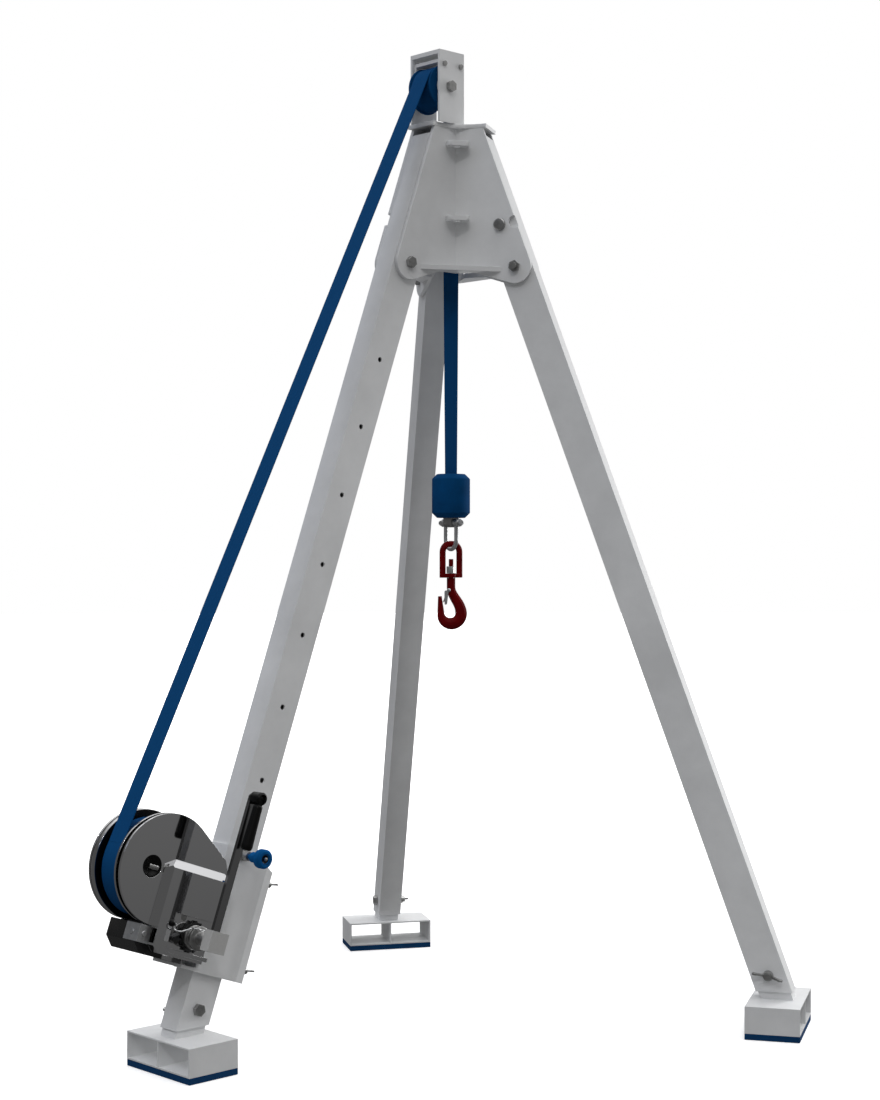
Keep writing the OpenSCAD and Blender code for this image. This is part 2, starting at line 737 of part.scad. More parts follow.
module carrier() {
    low = index_s - carrier_below;
    high = index_s + carrier_above;
    in_w = leg_w / 2 + slide_gap;
    in_front = leg_d / 2 + slide_gap;
    b = carrier_bevel;
    w = side_out - carrier_taper;
    a = atan2(carrier_taper, carrier_bevel);
    k1 = carrier_t * tan(a / 2);
    k2 = carrier_t * tan((90 - a) / 2);
    color(PAINT) on_winch() difference() {
        translate([0, 0, low]) linear_extrude(high - low) difference() {
            polygon([
                [front_n, -side_out], [front_n, side_out], [back_n + b, side_out], [back_n, w],
                [back_n, -w], [back_n + b, -side_out]
            ]);
            polygon([
                [in_front, -in_w], [in_front, in_w], [back_n + b + k1, in_w],
                [back_n + carrier_t, w - k2], [back_n + carrier_t, k2 - w],
                [back_n + b + k1, -in_w]
            ]);
        }
        // upper edge falls towards the rear
        across(-leg_w, leg_w) polygon([
            [-leg_d / 4, high + 1], [-leg_d / 4, high], [back_n - 1, high - carrier_slope], [back_n - 1, high + 1]
        ]);
        rod_across([0, index_s], plunger_d / 2 + run_gap, 0, leg_w);
        for (down = clamp_down)
            translate([0, 0, index_s - down]) rotate([0, -90, 0]) cylinder(d = clamp_d + 2 * run_gap, h = leg_d * 2);
    }
}
module plunger_body() {
    color(STEEL) on_winch() translate([0, side_out, index_s]) rotate([-90, 0, 0]) difference() {
        union() {
            cylinder(d = plunger_d * 2, h = plunger_body_l);
            cylinder(d = plunger_d * 2.6, h = plunger_body_l * 0.4, $fn = 6);
        }
        translate([0, 0, -1]) cylinder(d = plunger_d + 2 * run_gap, h = plunger_body_l + 2);
    }
}
module plunger_knob() {
    z0 = leg_w / 2 + plunger_rest;
    z1 = side_out + plunger_body_l + plunger_free;
    z2 = z1 + knob_stem_l;
    z3 = z2 + knob_disc_l;
    r = plunger_d / 2;
    color(BLUE) on_winch() translate([0, 0, index_s]) rotate([-90, 0, 0]) rotate_extrude() polygon([
        [0, z0], [r - 1, z0], [r, z0 + 1], [r, z1], [knob_stem_d / 2 - 1, z1], [knob_stem_d / 2, z1 + 1],
        [knob_stem_d / 2 - 2, z2 - 3], [knob_d / 2 - 3, z2], [knob_d / 2, z2 + 3], [knob_d / 2, z3 - 5],
        [knob_d / 2 - 4, z3], [knob_d * 0.28, z3], [knob_d * 0.2, z3 - 4], [r * 0.8, z3 - 4],
        [r * 0.8, z3 - 1], [0, z3 - 1]
    ]);
}
module clamp_screw(down) {
    tip_n = leg_d / 2 + slide_gap;
    wing_n = -back_n + 17;
    color(STEEL) on_winch() translate([0, 0, index_s - down]) rotate([0, -90, 0]) {
        translate([0, 0, tip_n]) cylinder(d = clamp_d, h = wing_n - tip_n + 4);
        translate([0, 0, wing_n]) rotate([0, 0, 78]) wing_nut(clamp_d / 2, clamp_span);
    }
}
module clamp_screw_upper() { clamp_screw(clamp_down[0]); }
module clamp_screw_lower() { clamp_screw(clamp_down[1]); }

// Winch frame

module winch_base() {
    color(PAINT) on_winch() {
        across(-plate_in, plate_in) polygon([
            [front_n, base_low_s], [shelf_n, base_low_s], [shelf_n, base_low_s + shelf_t],
            [base_n, base_low_s + shelf_t], [base_n, plate_peak_s - 16], [front_n, plate_peak_s - 16]
        ]);
    }
}
module side_plate_outline() {
    c = [drum_n, drum_s];
    tip = [base_n + 4, plate_peak_s + 4];
    translate(c) circle(flange_r, $fn = 96);
    polygon([
        c, tangent_point(c, flange_r, tip, -1), tip, [front_n, plate_peak_s - 16], [front_n, plate_low_s],
        [cover_low_n - heel_cut[0], plate_low_s], [cover_low_n, plate_low_s + heel_cut[1]], [cover_low_n, drum_s]
    ]);
}
module side_plate_near() {
    color(POLISH) on_winch() difference() {
        across(plate_in, plate_out) side_plate_outline();
        rod_across(window_ns, window_r, 0, 2 * plate_out);
        rod_across([drum_n, drum_s], axle_d / 2 + run_gap, 0, 2 * plate_out);
        rod_across(idler_ns, journal_d / 2 + run_gap, 0, 2 * plate_out);
        rod_across(crank_ns, shaft_d / 2 + run_gap, 0, 2 * plate_out);
    }
}
module side_plate_far() {
    color(POLISH) on_winch() difference() {
        across(-plate_out, -plate_in) side_plate_outline();
        rod_across([drum_n, drum_s], axle_d / 2 + run_gap, -2 * plate_out, 0);
    }
}
module end_block_space(grow) {
    across(end_in - grow, plate_out + grow) translate([beam_n[1] - end_w, beam_top_s - end_h])
        square([end_w + grow, end_h + grow]);
}
module cross_beam() {
    low = base_low_s + shelf_t;
    color(BLACK) on_winch() difference() {
        across(-plate_in, plate_in) polygon([
            [beam_n[0], low], [beam_n[1] - beam_chamfer, low], [beam_n[1], low + beam_chamfer],
            [beam_n[1], beam_top_s], [beam_n[0], beam_top_s]
        ]);
        end_block_space(0.01);
    }
}
module end_block() {
    dot_r = 6;
    color(STEEL) on_winch() {
        end_block_space(0);
        rod_across([beam_n[1] - end_w / 2, beam_top_s - end_h / 2], dot_r, plate_out - 1, plate_out + 2);
        translate([beam_n[1] - 1, (end_in + plate_out) / 2, beam_top_s - end_h / 2]) rotate([0, 90, 0])
            cylinder(r = dot_r, h = 3);
    }
}
module gear_cover() {
    out = plate_out + cover_h;
    b = cover_bevel;
    n0 = front_n + 4;
    n1 = cover_left_n;
    in_n = min(n1 - b, cover_low_n - 5);
    color(POLISH) on_winch() difference() {
        intersection() {
            across(plate_out, out) polygon([
                [n0, cover_top_s], [n1 - cover_cut, cover_top_s], [n1, cover_top_s - cover_cut],
                [n1, drum_s - flange_r], [cover_low_n, drum_s - flange_r],
                [cover_low_n, plate_low_s + heel_cut[1]], [cover_low_n - heel_cut[0], plate_low_s],
                [cover_foot_n, plate_low_s], [cover_foot_n, floor_top_s - floor_t], [n0, floor_top_s - floor_t],
                [n0, floor_top_s], [cover_foot_n, floor_top_s], [cover_foot_n, cover_low_s], [n0, cover_low_s]
            ]);
            rotate([90, 0, 90]) translate([0, 0, n0]) linear_extrude(n1 - n0) polygon([
                [plate_out, plate_low_s], [out, plate_low_s], [out, cover_top_s - b], [out - b, cover_top_s],
                [plate_out, cover_top_s]
            ]);
            translate([0, 0, plate_low_s]) linear_extrude(cover_top_s - plate_low_s) polygon([
                [n0, plate_out], [n1, plate_out], [n1 - b * 0.6, out], [n0, out]
            ]);
        }
        across(plate_out - 1, out - cover_wall) polygon([
            [n0 + 4, cover_top_s - b], [n1 - cover_cut - 6, cover_top_s - b], [n1 - b, cover_top_s - cover_cut - b],
            [n1 - b, drum_s - flange_r + 16], [in_n, drum_s - flange_r + 16],
            [in_n, plate_low_s + heel_cut[1]], [in_n - heel_cut[0], plate_low_s + 6],
            [cover_foot_n + 6, plate_low_s + 6], [cover_foot_n + 6, cover_low_s + 6], [n0 + 4, cover_low_s + 6]
        ]);
        // opening in the lower side wall
        across(plate_out + 1, out - cover_wall) translate([in_n - 1, plate_low_s + 17.5])
            square([cover_low_n - in_n + 2, 30]);
    }
}

// Drum and gears

module drum_axle() {
    nut_r = axle_d * 0.8;
    color(STEEL) on_winch() {
        rod_across([drum_n, drum_s], axle_d / 2, -plate_out - 14, plate_out - 1);
        across(-plate_out - 10, -plate_out) translate([drum_n, drum_s]) difference() {
            circle(nut_r, $fn = 6);
            circle(axle_d / 2 + run_gap);
        }
    }
}
module drum() {
    rim = flange_r - 5;
    bore = axle_d / 2 + run_gap;
    f = flange_out;
    rim_out = plate_in - 2;
    color(POLISH) on_winch() translate([drum_n, 0, drum_s]) rotate([-90, 0, 0]) rotate_extrude($fn = 96) polygon([
        [bore, -plate_in + 1], [barrel_r - 8, -plate_in + 1], [barrel_r - 8, -f], [rim, -f], [rim, -rim_out],
        [flange_r, -rim_out], [flange_r, -drum_half], [barrel_r, -drum_half], [barrel_r, drum_half],
        [flange_r, drum_half], [flange_r, f], [bore, f]
    ]);
}
// Involute spur gear outline with a tooth centred on the x axis
function involute(rb, a) = rb * [cos(a) + a * PI / 180 * sin(a), sin(a) - a * PI / 180 * cos(a)];
module gear_outline(m, z, backlash = 0.5) {
    rp = m * z / 2;
    rb = rp * cos(20);
    ra = rp + 0.95 * m;
    rf = rp - 1.25 * m;
    half = 90 / z + (tan(20) * 180 / PI - 20) - backlash / 2 / rp * 180 / PI;
    a0 = rf > rb ? sqrt(pow(rf / rb, 2) - 1) * 180 / PI : 0;
    a1 = sqrt(pow(ra / rb, 2) - 1) * 180 / PI;
    steps = 4;
    flank = [for (i = [0 : steps]) involute(rb, a0 + (a1 - a0) * i / steps)];
    // the flank as radius and angle from the tooth's middle
    side = [for (p = flank) [norm(p), half - atan2(p[1], p[0])]];
    root = [[rf, side[0][1]]];
    polygon([for (k = [0 : z - 1]) each concat(
        [for (q = concat(root, side)) polar(q[0], k * 360 / z - q[1])],
        [for (i = [steps : -1 : 0]) polar(side[i][0], k * 360 / z + side[i][1])],
        [polar(rf, k * 360 / z + root[0][1])]
    )]);
}
module gear(ns, m, z, turn, bore_r) {
    across(gear_in + gear_gap / 2, gear_in + gear_gap / 2 + gear_w) translate(ns) difference() {
        rotate(turn) gear_outline(m, z);
        if (bore_r > 0) circle(bore_r);
    }
}
module drum_gear() {
    color(STEEL) on_winch() union() {
        gear([drum_n, drum_s], gear_m, drum_teeth, train_dir, axle_d / 2 + run_gap);
        across(gear_in, gear_in + gear_gap / 2) translate([drum_n, drum_s]) difference() {
            circle(barrel_r);
            circle(axle_d / 2 + run_gap);
        }
    }
}
module idler_gear() {
    color(STEEL) on_winch() {
        gear(idler_ns, gear_m, idler_teeth, train_dir + 180 + 180 / idler_teeth, 0);
        rod_across(idler_ns, journal_d / 2, gear_in + gear_gap / 2 + gear_w - 1, plate_out - 1);
    }
}
module crank_shaft() {
    color(STEEL) on_winch() {
        gear(crank_ns, gear_m, pinion_teeth, train_dir + 180 + 180 / pinion_teeth, 0);
        rod_across(crank_ns, shaft_d / 2, gear_in + gear_gap / 2 + gear_w - 1, arm_out + arm_t - hub_face - side_gap);
    }
}
module brake_ratchet() {
    t0 = plate_out + 1;
    tip = ratchet_r;
    root = ratchet_r - 5;
    step = 360 / ratchet_teeth;
    pawl_c = crank_ns + [ratchet_r + 6, -14];
    color(STEEL) on_winch() {
        across(t0, t0 + ratchet_t) translate(crank_ns) difference() {
            polygon([for (i = [0 : ratchet_teeth - 1]) each [polar(tip, i * step), polar(root, i * step + 3)]]);
            circle(shaft_d / 2 + side_gap);
        }
        across(plate_out, t0) translate(crank_ns) difference() {
            circle(root - 6);
            circle(shaft_d / 2 + side_gap);
        }
        across(plate_out, t0 + ratchet_t) difference() {
            union() {
                translate(pawl_c) circle(8);
                polygon([pawl_c + [-2, 8], pawl_c + [-13, 15], pawl_c + [-11, 18], pawl_c + [7, 4]]);
            }
            translate(crank_ns) circle(tip + side_gap);
        }
    }
}
module brake_disc() {
    t0 = plate_out + 1 + ratchet_t + side_gap;
    t1 = arm_out + arm_t - hub_l - side_gap;
    disc_r = ratchet_r - 8;
    color(STEEL) on_winch() translate([crank_ns[0], 0, crank_ns[1]]) rotate([-90, 0, 0]) rotate_extrude() polygon([
        [shaft_d / 2 + run_gap, t0], [disc_r, t0], [disc_r, t0 + disc_t], [disc_r - 6, t0 + disc_t + 2],
        [disc_r - 6, t0 + disc_t + 10], [disc_r, t0 + disc_t + 12], [disc_r, t0 + 2 * disc_t + 12],
        [shaft_d / 2 + 5, t0 + 2 * disc_t + 14], [shaft_d / 2 + 5, t1], [shaft_d / 2 + run_gap, t1]
    ]);
}

// Crank

module crank_arm() {
    color(STEEL) on_winch() {
        difference() {
            union() {
                across(arm_out + arm_t - hub_l, arm_out + arm_t) translate(crank_ns) square(hub_w, center = true);
                across(arm_out, arm_out + arm_t) {
                    translate([arm_n - arm_w / 2, crank_ns[1]]) square([arm_w, arm_len]);
                    translate([arm_n, arm_top_s]) circle(arm_w / 2);
                }
            }
            rod_across(crank_ns, shaft_d / 2 + run_gap, 0, arm_out + arm_t - hub_face);
        }
        rod_across([arm_n, arm_top_s], stub_r, arm_out + arm_t - 1, knuckle_in + stub_out);
    }
}
module handle_knuckle() {
    c = [arm_n, arm_top_s];
    end = knuckle_in + knuckle_l;
    color(BLACK) on_winch() difference() {
        translate([arm_n, 0, arm_top_s]) rotate([-90, 0, 0]) rotate_extrude() polygon([
            [0, knuckle_in], [knuckle_d / 2, knuckle_in], [knuckle_d / 2, end - knuckle_edge],
            [knuckle_d / 2 - knuckle_edge, end], [0, end]
        ]);
        rod_across(c, stub_r + run_gap, knuckle_in - 1, knuckle_in + stub_out + side_gap);
        translate([arm_n - tongue_w / 2 - side_gap, hinge_x - tongue_r - side_gap, arm_top_s - knuckle_d])
            cube([tongue_w + 2 * side_gap, knuckle_l, knuckle_d + tongue_r + side_gap]);
    }
    // hinge pin of the grip
    color(STEEL) on_winch() translate([arm_n, hinge_x, arm_top_s]) rotate([0, 90, 0])
        cylinder(r = hinge_r, h = tongue_w + 2 * side_gap + 4, center = true);
}
module handle_grip() {
    r = grip_d / 2;
    color(BLACK) on_winch() translate([arm_n, hinge_x, arm_top_s]) {
        difference() {
            rotate([0, 90, 0]) linear_extrude(tongue_w, center = true) union() {
                circle(tongue_r);
                translate([0, -tongue_r + 1]) square([grip_start + 2, 2 * tongue_r - 2]);
            }
            rotate([0, 90, 0]) cylinder(r = hinge_r + run_gap, h = 2 * tongue_w, center = true);
        }
        rotate([180, 0, 0]) translate([0, 0, grip_start]) rotate_extrude() polygon([
            [0, 0], [r * 0.7, 0], [r * 0.8, 2], [r * 0.86, grip_l * 0.35], [r, grip_l - 8], [r - 1, grip_l - 3],
            [r - 4, grip_l], [0, grip_l]
        ]);
    }
}

// Belt

// Children drawn as [y, z] and extruded across the belt's width
module belt_section() {
    translate([-belt_w / 2, 0, 0]) rotate([90, 0, 90]) linear_extrude(belt_w) children();
}
// Part of a ring from angle a0 to a1
module arc_band(c, r, t, a0, a1) {
    steps = ceil((a1 - a0) / 5);
    translate(c) polygon(concat(
        [for (i = [0 : steps]) polar(r + t / 2, a0 + (a1 - a0) * i / steps)],
        [for (i = [steps : -1 : 0]) polar(r - t / 2, a0 + (a1 - a0) * i / steps)]
    ));
}
module strip(p, q) {
    n = belt_t / 2 * run_n;
    polygon([p - n, p + n, q + n, q - n]);
}
module belt_winding() {
    steps = 36 * coil_turns;
    function layer(i, t) = polar(coil_core + coil_gap + coil_pitch * i / 36 + t,
        run_angle + wrap_turn + 360 * (coil_turns - i / 36));
    // the inner end is sewn to the core
    sewn = polar(coil_core - belt_t / 2, run_angle + wrap_turn + 360 * coil_turns);
    color(BLUE) {
        on_winch() across(-belt_w / 2, belt_w / 2) translate([drum_n, drum_s]) difference() {
            circle(coil_core, $fn = 96);
            circle(barrel_r + side_gap / 4, $fn = 96);
        }
        belt_section() translate(drum_yz) polygon(concat(
            [for (i = [0 : steps]) layer(i, belt_t)],
            [for (i = [steps : -1 : 1]) layer(i, 0)],
            [sewn]
        ));
    }
}
module belt_wrap() {
    color(BLUE) belt_section() arc_band(drum_yz, coil_r, belt_t, run_angle, run_angle + wrap_turn);
}
module belt_run() {
    start = run_from + belt_gap / norm(run_to - run_from) * (run_to - run_from);
    color(BLUE) belt_section() strip(start, run_split);
}
module belt_lead() {
    color(BLUE) belt_section() strip(run_split, run_to);
}
module belt_over() {
    color(BLUE) belt_section() {
        arc_band(roller_yz, roller_wrap_r, belt_t, 0, run_angle);
        translate([-belt_t / 2, valley_z]) square([belt_t, roller_z - valley_z]);
    }
}
// Solid through rings of equally many points, each clockwise seen along the way
module ring_solid(points, rings, sides) {
    walls = [for (i = [0 : rings - 1], j = [0 : sides - 1])
        let (a = i * sides + j, b = i * sides + (j + 1) % sides) each [
            [a, b + sides, b], [a, a + sides, b + sides]]];
    ends = [for (j = [1 : sides - 2]) each [
        [0, j, j + 1], [rings * sides, rings * sides + j + 1, rings * sides + j]]];
    polyhedron(points, concat(walls, ends));
}
module belt_fall() {
    steps = 12;
    low = belt_end_z;
    half = [belt_w / 2, belt_t / 2];
    color(BLUE) ring_solid([for (i = [0 : steps], c = [[-1, -1], [-1, 1], [1, 1], [1, -1]])
        let (a = -belt_twist * i / steps, x = c[0] * half[0], y = c[1] * half[1])
        [x * cos(a) - y * sin(a), x * sin(a) + y * cos(a), valley_z + (low - valley_z) * i / steps]
    ], steps, 4);
}

// Hook

module buffer() {
    r = buffer_d / 2;
    c = buffer_chamfer;
    slot_w = belt_w + 4;
    color(BLUE) difference() {
        rotate_extrude($fn = 72) polygon([
            [0, buffer_low_z], [r - c, buffer_low_z], [r, buffer_low_z + c], [r, buffer_top_z - c],
            [r - c, buffer_top_z], [0, buffer_top_z]
        ]);
        rotate([0, 0, shackle_az]) {
            translate([-slot_w / 2, -belt_t, belt_end_z]) cube([slot_w, 2 * belt_t, buffer_h]);
            translate([-eye_w / 2 - side_gap, -14, buffer_low_z - 1])
                cube([eye_w + 2 * side_gap, 28, buffer_h / 2]);
        }
    }
}
module belt_eye() {
    eye_r = 11;
    color(STEEL) rotate([0, 0, shackle_az]) difference() {
        translate([eye_w / 2, 0, 0]) rotate([90, 0, -90]) linear_extrude(eye_w) union() {
            translate([0, pin_z]) circle(eye_r);
            translate([-eye_r, pin_z]) square([2 * eye_r, pin_drop + buffer_h / 2 - 1 - side_gap]);
        }
        translate([0, 0, pin_z]) rotate([0, 90, 0]) cylinder(r = shackle_d * 0.6 + run_gap, h = 2 * eye_w, center = true);
    }
}
module shackle() {
    r = shackle_d / 2;
    w = shackle_w / 2;
    ear_r = shackle_d * 0.95;
    color(STEEL) rotate([0, 0, shackle_az]) difference() {
        union() {
            translate([0, 0, bow_z]) rotate([90, 0, 0]) rotate([0, 0, 180]) rotate_extrude(angle = 180)
                translate([w, 0]) circle(r, $fn = 24);
            for (side = [-1, 1]) translate([side * w, 0, 0]) {
                ring_z(r, bow_z, pin_z);
                translate([0, 0, pin_z]) rotate([0, 90, 0]) cylinder(r = ear_r, h = shackle_d, center = true);
            }
        }
        translate([0, 0, pin_z]) rotate([0, 90, 0])
            cylinder(r = shackle_d * 0.6 + run_gap, h = 3 * shackle_w, center = true);
    }
}
module shackle_pin() {
    half = shackle_w / 2 + shackle_d / 2;
    color(STEEL) rotate([0, 0, shackle_az]) translate([0, 0, pin_z]) rotate([0, 90, 0]) {
        translate([0, 0, -half - pin_over]) cylinder(r = shackle_d * 0.6, h = 2 * half + pin_over + 4);
        translate([0, 0, half]) cylinder(r = shackle_d * 0.95, h = 10);
        translate([0, 0, half + 9]) cylinder(r = shackle_d * 0.6, h = pin_over - 9);
        translate([0, 0, -half - 11]) cylinder(r = shackle_d * 0.95, h = 11, $fn = 6);
    }
}
module bail() {
    r = bail_d / 2;
    foot_z = bail_low_z;
    color(RED) rotate([0, 0, bail_az]) difference() {
        union() {
            for (side = [0, 180]) rotate([0, 0, side]) translate([bail_flat / 2, 0, arch_z]) rotate([90, 0, 0])
                rotate_extrude(angle = 90) translate([bail_turn_r, 0]) circle(r, $fn = 24);
            translate([0, 0, bail_bar_z]) rotate([0, 90, 0])
                cylinder(r = r, h = bail_flat, center = true, $fn = 24);
            for (side = [-1, 1]) translate([side * bail_r, 0, 0]) ring_z(r, foot_z + bail_foot_t / 2, arch_z);
            translate([-bail_w / 2, -bail_d * 0.8, foot_z]) cube([bail_w, bail_d * 1.6, bail_foot_t]);
        }
        ring_z(shank_d / 2 + run_gap, foot_z - 1, foot_z + bail_foot_t + 1);
    }
}
// Middle line of the hook in its own plane, as [[across, up], diameter], from the neck to the point
hook_neck = [0, hook_drop - side_gap];
hook_bend = [0, hook_drop - 24];
hook_side = [hook_r, 0];
function curve(p, a, b, q, k) =
    pow(1 - k, 3) * p + 3 * k * pow(1 - k, 2) * a + 3 * k * k * (1 - k) * b + pow(k, 3) * q;
function hook_line(i) = i < 3
    ? [hook_neck + (hook_bend - hook_neck) * i / 3, hook_neck_d]
    : i < 11
    ? let (k = (i - 3) / 8)
        [curve(hook_bend, hook_bend - [0, 22], hook_side + [0, 27], hook_side, k),
         hook_neck_d + (hook_d - 1 - hook_neck_d) * k]
    : i < 26
    ? let (k = (i - 11) / 15, a = -180 * k)
        [polar(hook_r, a), hook_d - pow(max(0, k - 0.5) * 2, 1.3) * hook_d * 0.42]
    : let (k = (i - 26) / 5)
        [[-hook_r - 2.5 * k, 42 * k], hook_d * 0.58 + (hook_tip_d - hook_d * 0.58) * k];
latch_xz = [-5, hook_drop - 30];
module hook_body() {
    rings = 31;
    sides = 14;
    mid = [for (i = [0 : rings]) hook_line(i)];
    dir = [for (i = [0 : rings])
        let (d = i == 0 ? [0, -1] : mid[min(rings, i + 1)][0] - mid[i - 1][0]) d / norm(d)];
    ring_solid([for (i = [0 : rings], j = [0 : sides - 1])
        let (r = mid[i][1] / 2, a = 360 * j / sides, w = r * cos(a))
        [mid[i][0][0] - w * dir[i][1], -r * sin(a) * 0.86, mid[i][0][1] + w * dir[i][0]]
    ], rings, sides);
}
module hook() {
    color(RED) rotate([0, 0, hook_az]) {
        translate([0, 0, bowl_z]) {
            hook_body();
            translate([latch_xz[0], 0, latch_xz[1]]) rotate([90, 0, 0])
                cylinder(r = latch_pin_r, h = 2 * latch_out + 1.5, center = true);
        }
        ring_z(shank_d / 2, bail_low_z - side_gap - 1, bail_low_z + bail_foot_t + shank_nut_h + 18);
    }
}
// Spring latch from its pin on the neck to the inside of the hook's point
latch_t = 1.6;
latch_pin_r = 2;
latch_in = hook_neck_d * 0.43 + side_gap + 0.8;
latch_out = latch_in + latch_t;
latch_end = [-hook_r + hook_d * 0.29 + 0.8, 26];
module latch() {
    v = latch_end - latch_xz;
    l = norm(v);
    color(STEEL) rotate([0, 0, hook_az]) translate([latch_xz[0], 0, bowl_z + latch_xz[1]])
        rotate([0, -atan2(v[1], v[0]), 0]) {
            for (side = [-1, 1]) translate([0, side * (latch_in + latch_t / 2), 0]) rotate([90, 0, 0])
                linear_extrude(latch_t, center = true) difference() {
                    union() {
                        circle(4.5);
                        translate([0, -4.5]) square([l - 3, 6]);
                    }
                    circle(latch_pin_r + run_gap);
                }
            translate([l * 0.5, -latch_out, -4.5]) cube([l * 0.5, 2 * latch_out, latch_t]);
        }
}
module shank_nut() {
    z0 = bail_low_z + bail_foot_t + side_gap;
    color(STEEL) rotate([0, 0, hook_az]) translate([0, 0, z0]) difference() {
        cylinder(r = shank_d, h = shank_nut_h, $fn = 6);
        translate([0, 0, -1]) cylinder(r = shank_d / 2 + run_gap, h = shank_nut_h + 2);
    }
}

cheek_wr();
cheek_rb();
cheek_bw();
top_plate();
head_gussets();
roller_box();
roller_spacers();
roller_bolts();
pivot_bolts();
roller();
lock_pin_w();
lock_pin_r();
lock_pin_b();
leg_tube_w();
leg_tube_r();
leg_tube_b();
foot_w_box();
foot_r_box();
foot_b_box();
foot_pad_w();
foot_pad_r();
foot_pad_b();
foot_bolt_w();
foot_bolt_r();
foot_bolt_b();
carrier();
plunger_body();
plunger_knob();
clamp_screw_upper();
clamp_screw_lower();
winch_base();
side_plate_near();
side_plate_far();
cross_beam();
end_block();
gear_cover();
drum_axle();
drum();
drum_gear();
idler_gear();
crank_shaft();
brake_ratchet();
brake_disc();
crank_arm();
handle_knuckle();
handle_grip();
belt_winding();
belt_wrap();
belt_run();
belt_lead();
belt_over();
belt_fall();
buffer();
belt_eye();
shackle();
shackle_pin();
bail();
hook();
shank_nut();
latch();
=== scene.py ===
# %% [markdown]
# # A rescue tripod in the studio
# This lesson dresses a packed mechanical model for a picture. The solids already have their true size and
# place, so Blender's work is the finishes, the woven belt and the small details that solids leave out.

# %% Load the model and keep its box
import json
import math
import bpy
import bmesh
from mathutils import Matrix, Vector


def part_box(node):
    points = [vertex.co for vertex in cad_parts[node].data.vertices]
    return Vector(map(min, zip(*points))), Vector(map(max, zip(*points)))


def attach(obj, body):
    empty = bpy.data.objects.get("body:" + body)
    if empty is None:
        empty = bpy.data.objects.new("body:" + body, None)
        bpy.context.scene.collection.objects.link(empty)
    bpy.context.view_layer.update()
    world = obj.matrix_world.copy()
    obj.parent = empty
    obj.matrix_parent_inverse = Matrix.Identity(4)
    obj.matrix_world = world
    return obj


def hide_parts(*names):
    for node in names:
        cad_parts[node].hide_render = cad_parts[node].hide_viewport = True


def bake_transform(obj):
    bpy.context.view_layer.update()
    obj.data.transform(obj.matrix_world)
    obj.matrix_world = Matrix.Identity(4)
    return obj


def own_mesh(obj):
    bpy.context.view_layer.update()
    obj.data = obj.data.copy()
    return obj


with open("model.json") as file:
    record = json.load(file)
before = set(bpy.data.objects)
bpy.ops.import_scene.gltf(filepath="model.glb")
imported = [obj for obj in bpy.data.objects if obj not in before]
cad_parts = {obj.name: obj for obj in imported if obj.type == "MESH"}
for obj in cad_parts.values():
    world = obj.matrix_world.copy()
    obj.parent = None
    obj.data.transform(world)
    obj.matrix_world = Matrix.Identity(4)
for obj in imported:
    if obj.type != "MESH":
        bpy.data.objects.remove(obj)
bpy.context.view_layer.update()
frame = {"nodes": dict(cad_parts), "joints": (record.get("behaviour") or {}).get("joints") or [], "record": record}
nodes = frame["nodes"]
joints = {joint["name"]: joint for joint in frame["joints"]}
ratios = {pair["joint"]: pair["ratio"] for pair in frame["record"]["behaviour"]["couplings"]}
print("solids loaded:", len(nodes), "joints:", len(joints))

# %% [markdown]
# ## The camera
# The picture was taken from about half the tripod's height, nearly five metres away, with a longer lens and
# the frame cut off centre. A shifted lens repeats that cut without turning the camera, so upright lines stay
# upright. The focal length and the lens's middle are in pixels of the picture.

# %% Place the camera
picture_wide, picture_high = 880, 1100
focal_pixels = 1949.5
middle_x, middle_y = 499.2, 571.6
camera = bpy.data.cameras.new("studio_camera")
camera.sensor_fit = "VERTICAL"
camera.sensor_height = 36.0
camera.lens = focal_pixels / picture_high * camera.sensor_height
camera.shift_x = (picture_wide / 2 - middle_x) / picture_high
camera.shift_y = (middle_y - picture_high / 2) / picture_high
camera.clip_end = 200
eye = bpy.data.objects.new("studio_camera", camera)
eye.location = (3.4342, -3.2419, 1.1128)
looking = Vector((-0.70995, 0.70417, -0.01096))
eye.rotation_euler = looking.to_track_quat("-Z", "Y").to_euler()
bpy.context.scene.collection.objects.link(eye)
bpy.context.scene.camera = eye
print("lens", round(camera.lens, 1), "mm")

# %% [markdown]
# ## Colours and nodes
# Colours are given as sRGB hex numbers, but shaders add up light in linear values. One function does that
# conversion for every colour. A second one adds a node, sets it up and links it, which keeps each material
# readable as a short list.

# %% Helpers for materials
def linear(code):
    """Turn an sRGB hex colour into the linear values that shaders use."""
    parts = [int(code[i:i + 2], 16) / 255 for i in (1, 3, 5)]
    return [p / 12.92 if p <= 0.04045 else ((p + 0.055) / 1.055) ** 2.4 for p in parts] + [1.0]


def add(tree, kind, links=None, **settings):
    """Add a node; links gives its inputs a value or another node's output."""
    made = tree.nodes.new(kind)
    for name, value in settings.items():
        setattr(made, name, value)
    for name, value in (links or {}).items():
        if isinstance(value, bpy.types.NodeSocket):
            tree.links.new(value, made.inputs[name])
        else:
            made.inputs[name].default_value = value
    return made


def finish_named(name):
    """Start an empty material and return it with its tree, its shader and its object coordinates."""
    finish = bpy.data.materials.new(name)
    finish.use_nodes = True
    tree = finish.node_tree
    shader = tree.nodes["Principled BSDF"]
    place = add(tree, "ShaderNodeTexCoord").outputs["Object"]
    return finish, tree, shader, place


def per_size(mm):
    """Noise scale whose blobs are about this many millimetres across."""
    return 1000.0 / mm


print("white paint, linear:", [round(v, 3) for v in linear("#ecedee")])

# %% [markdown]
# ## Powder-coated aluminium
# Legs, head, feet and carrier are aluminium tubes and plates with a baked white powder coat. The coat flows
# into a faint orange peel of two or three millimetres, and it dulls where hands and dust have been.
# The peel would be finer than a pixel here, so it is drawn at five millimetres to show at all.

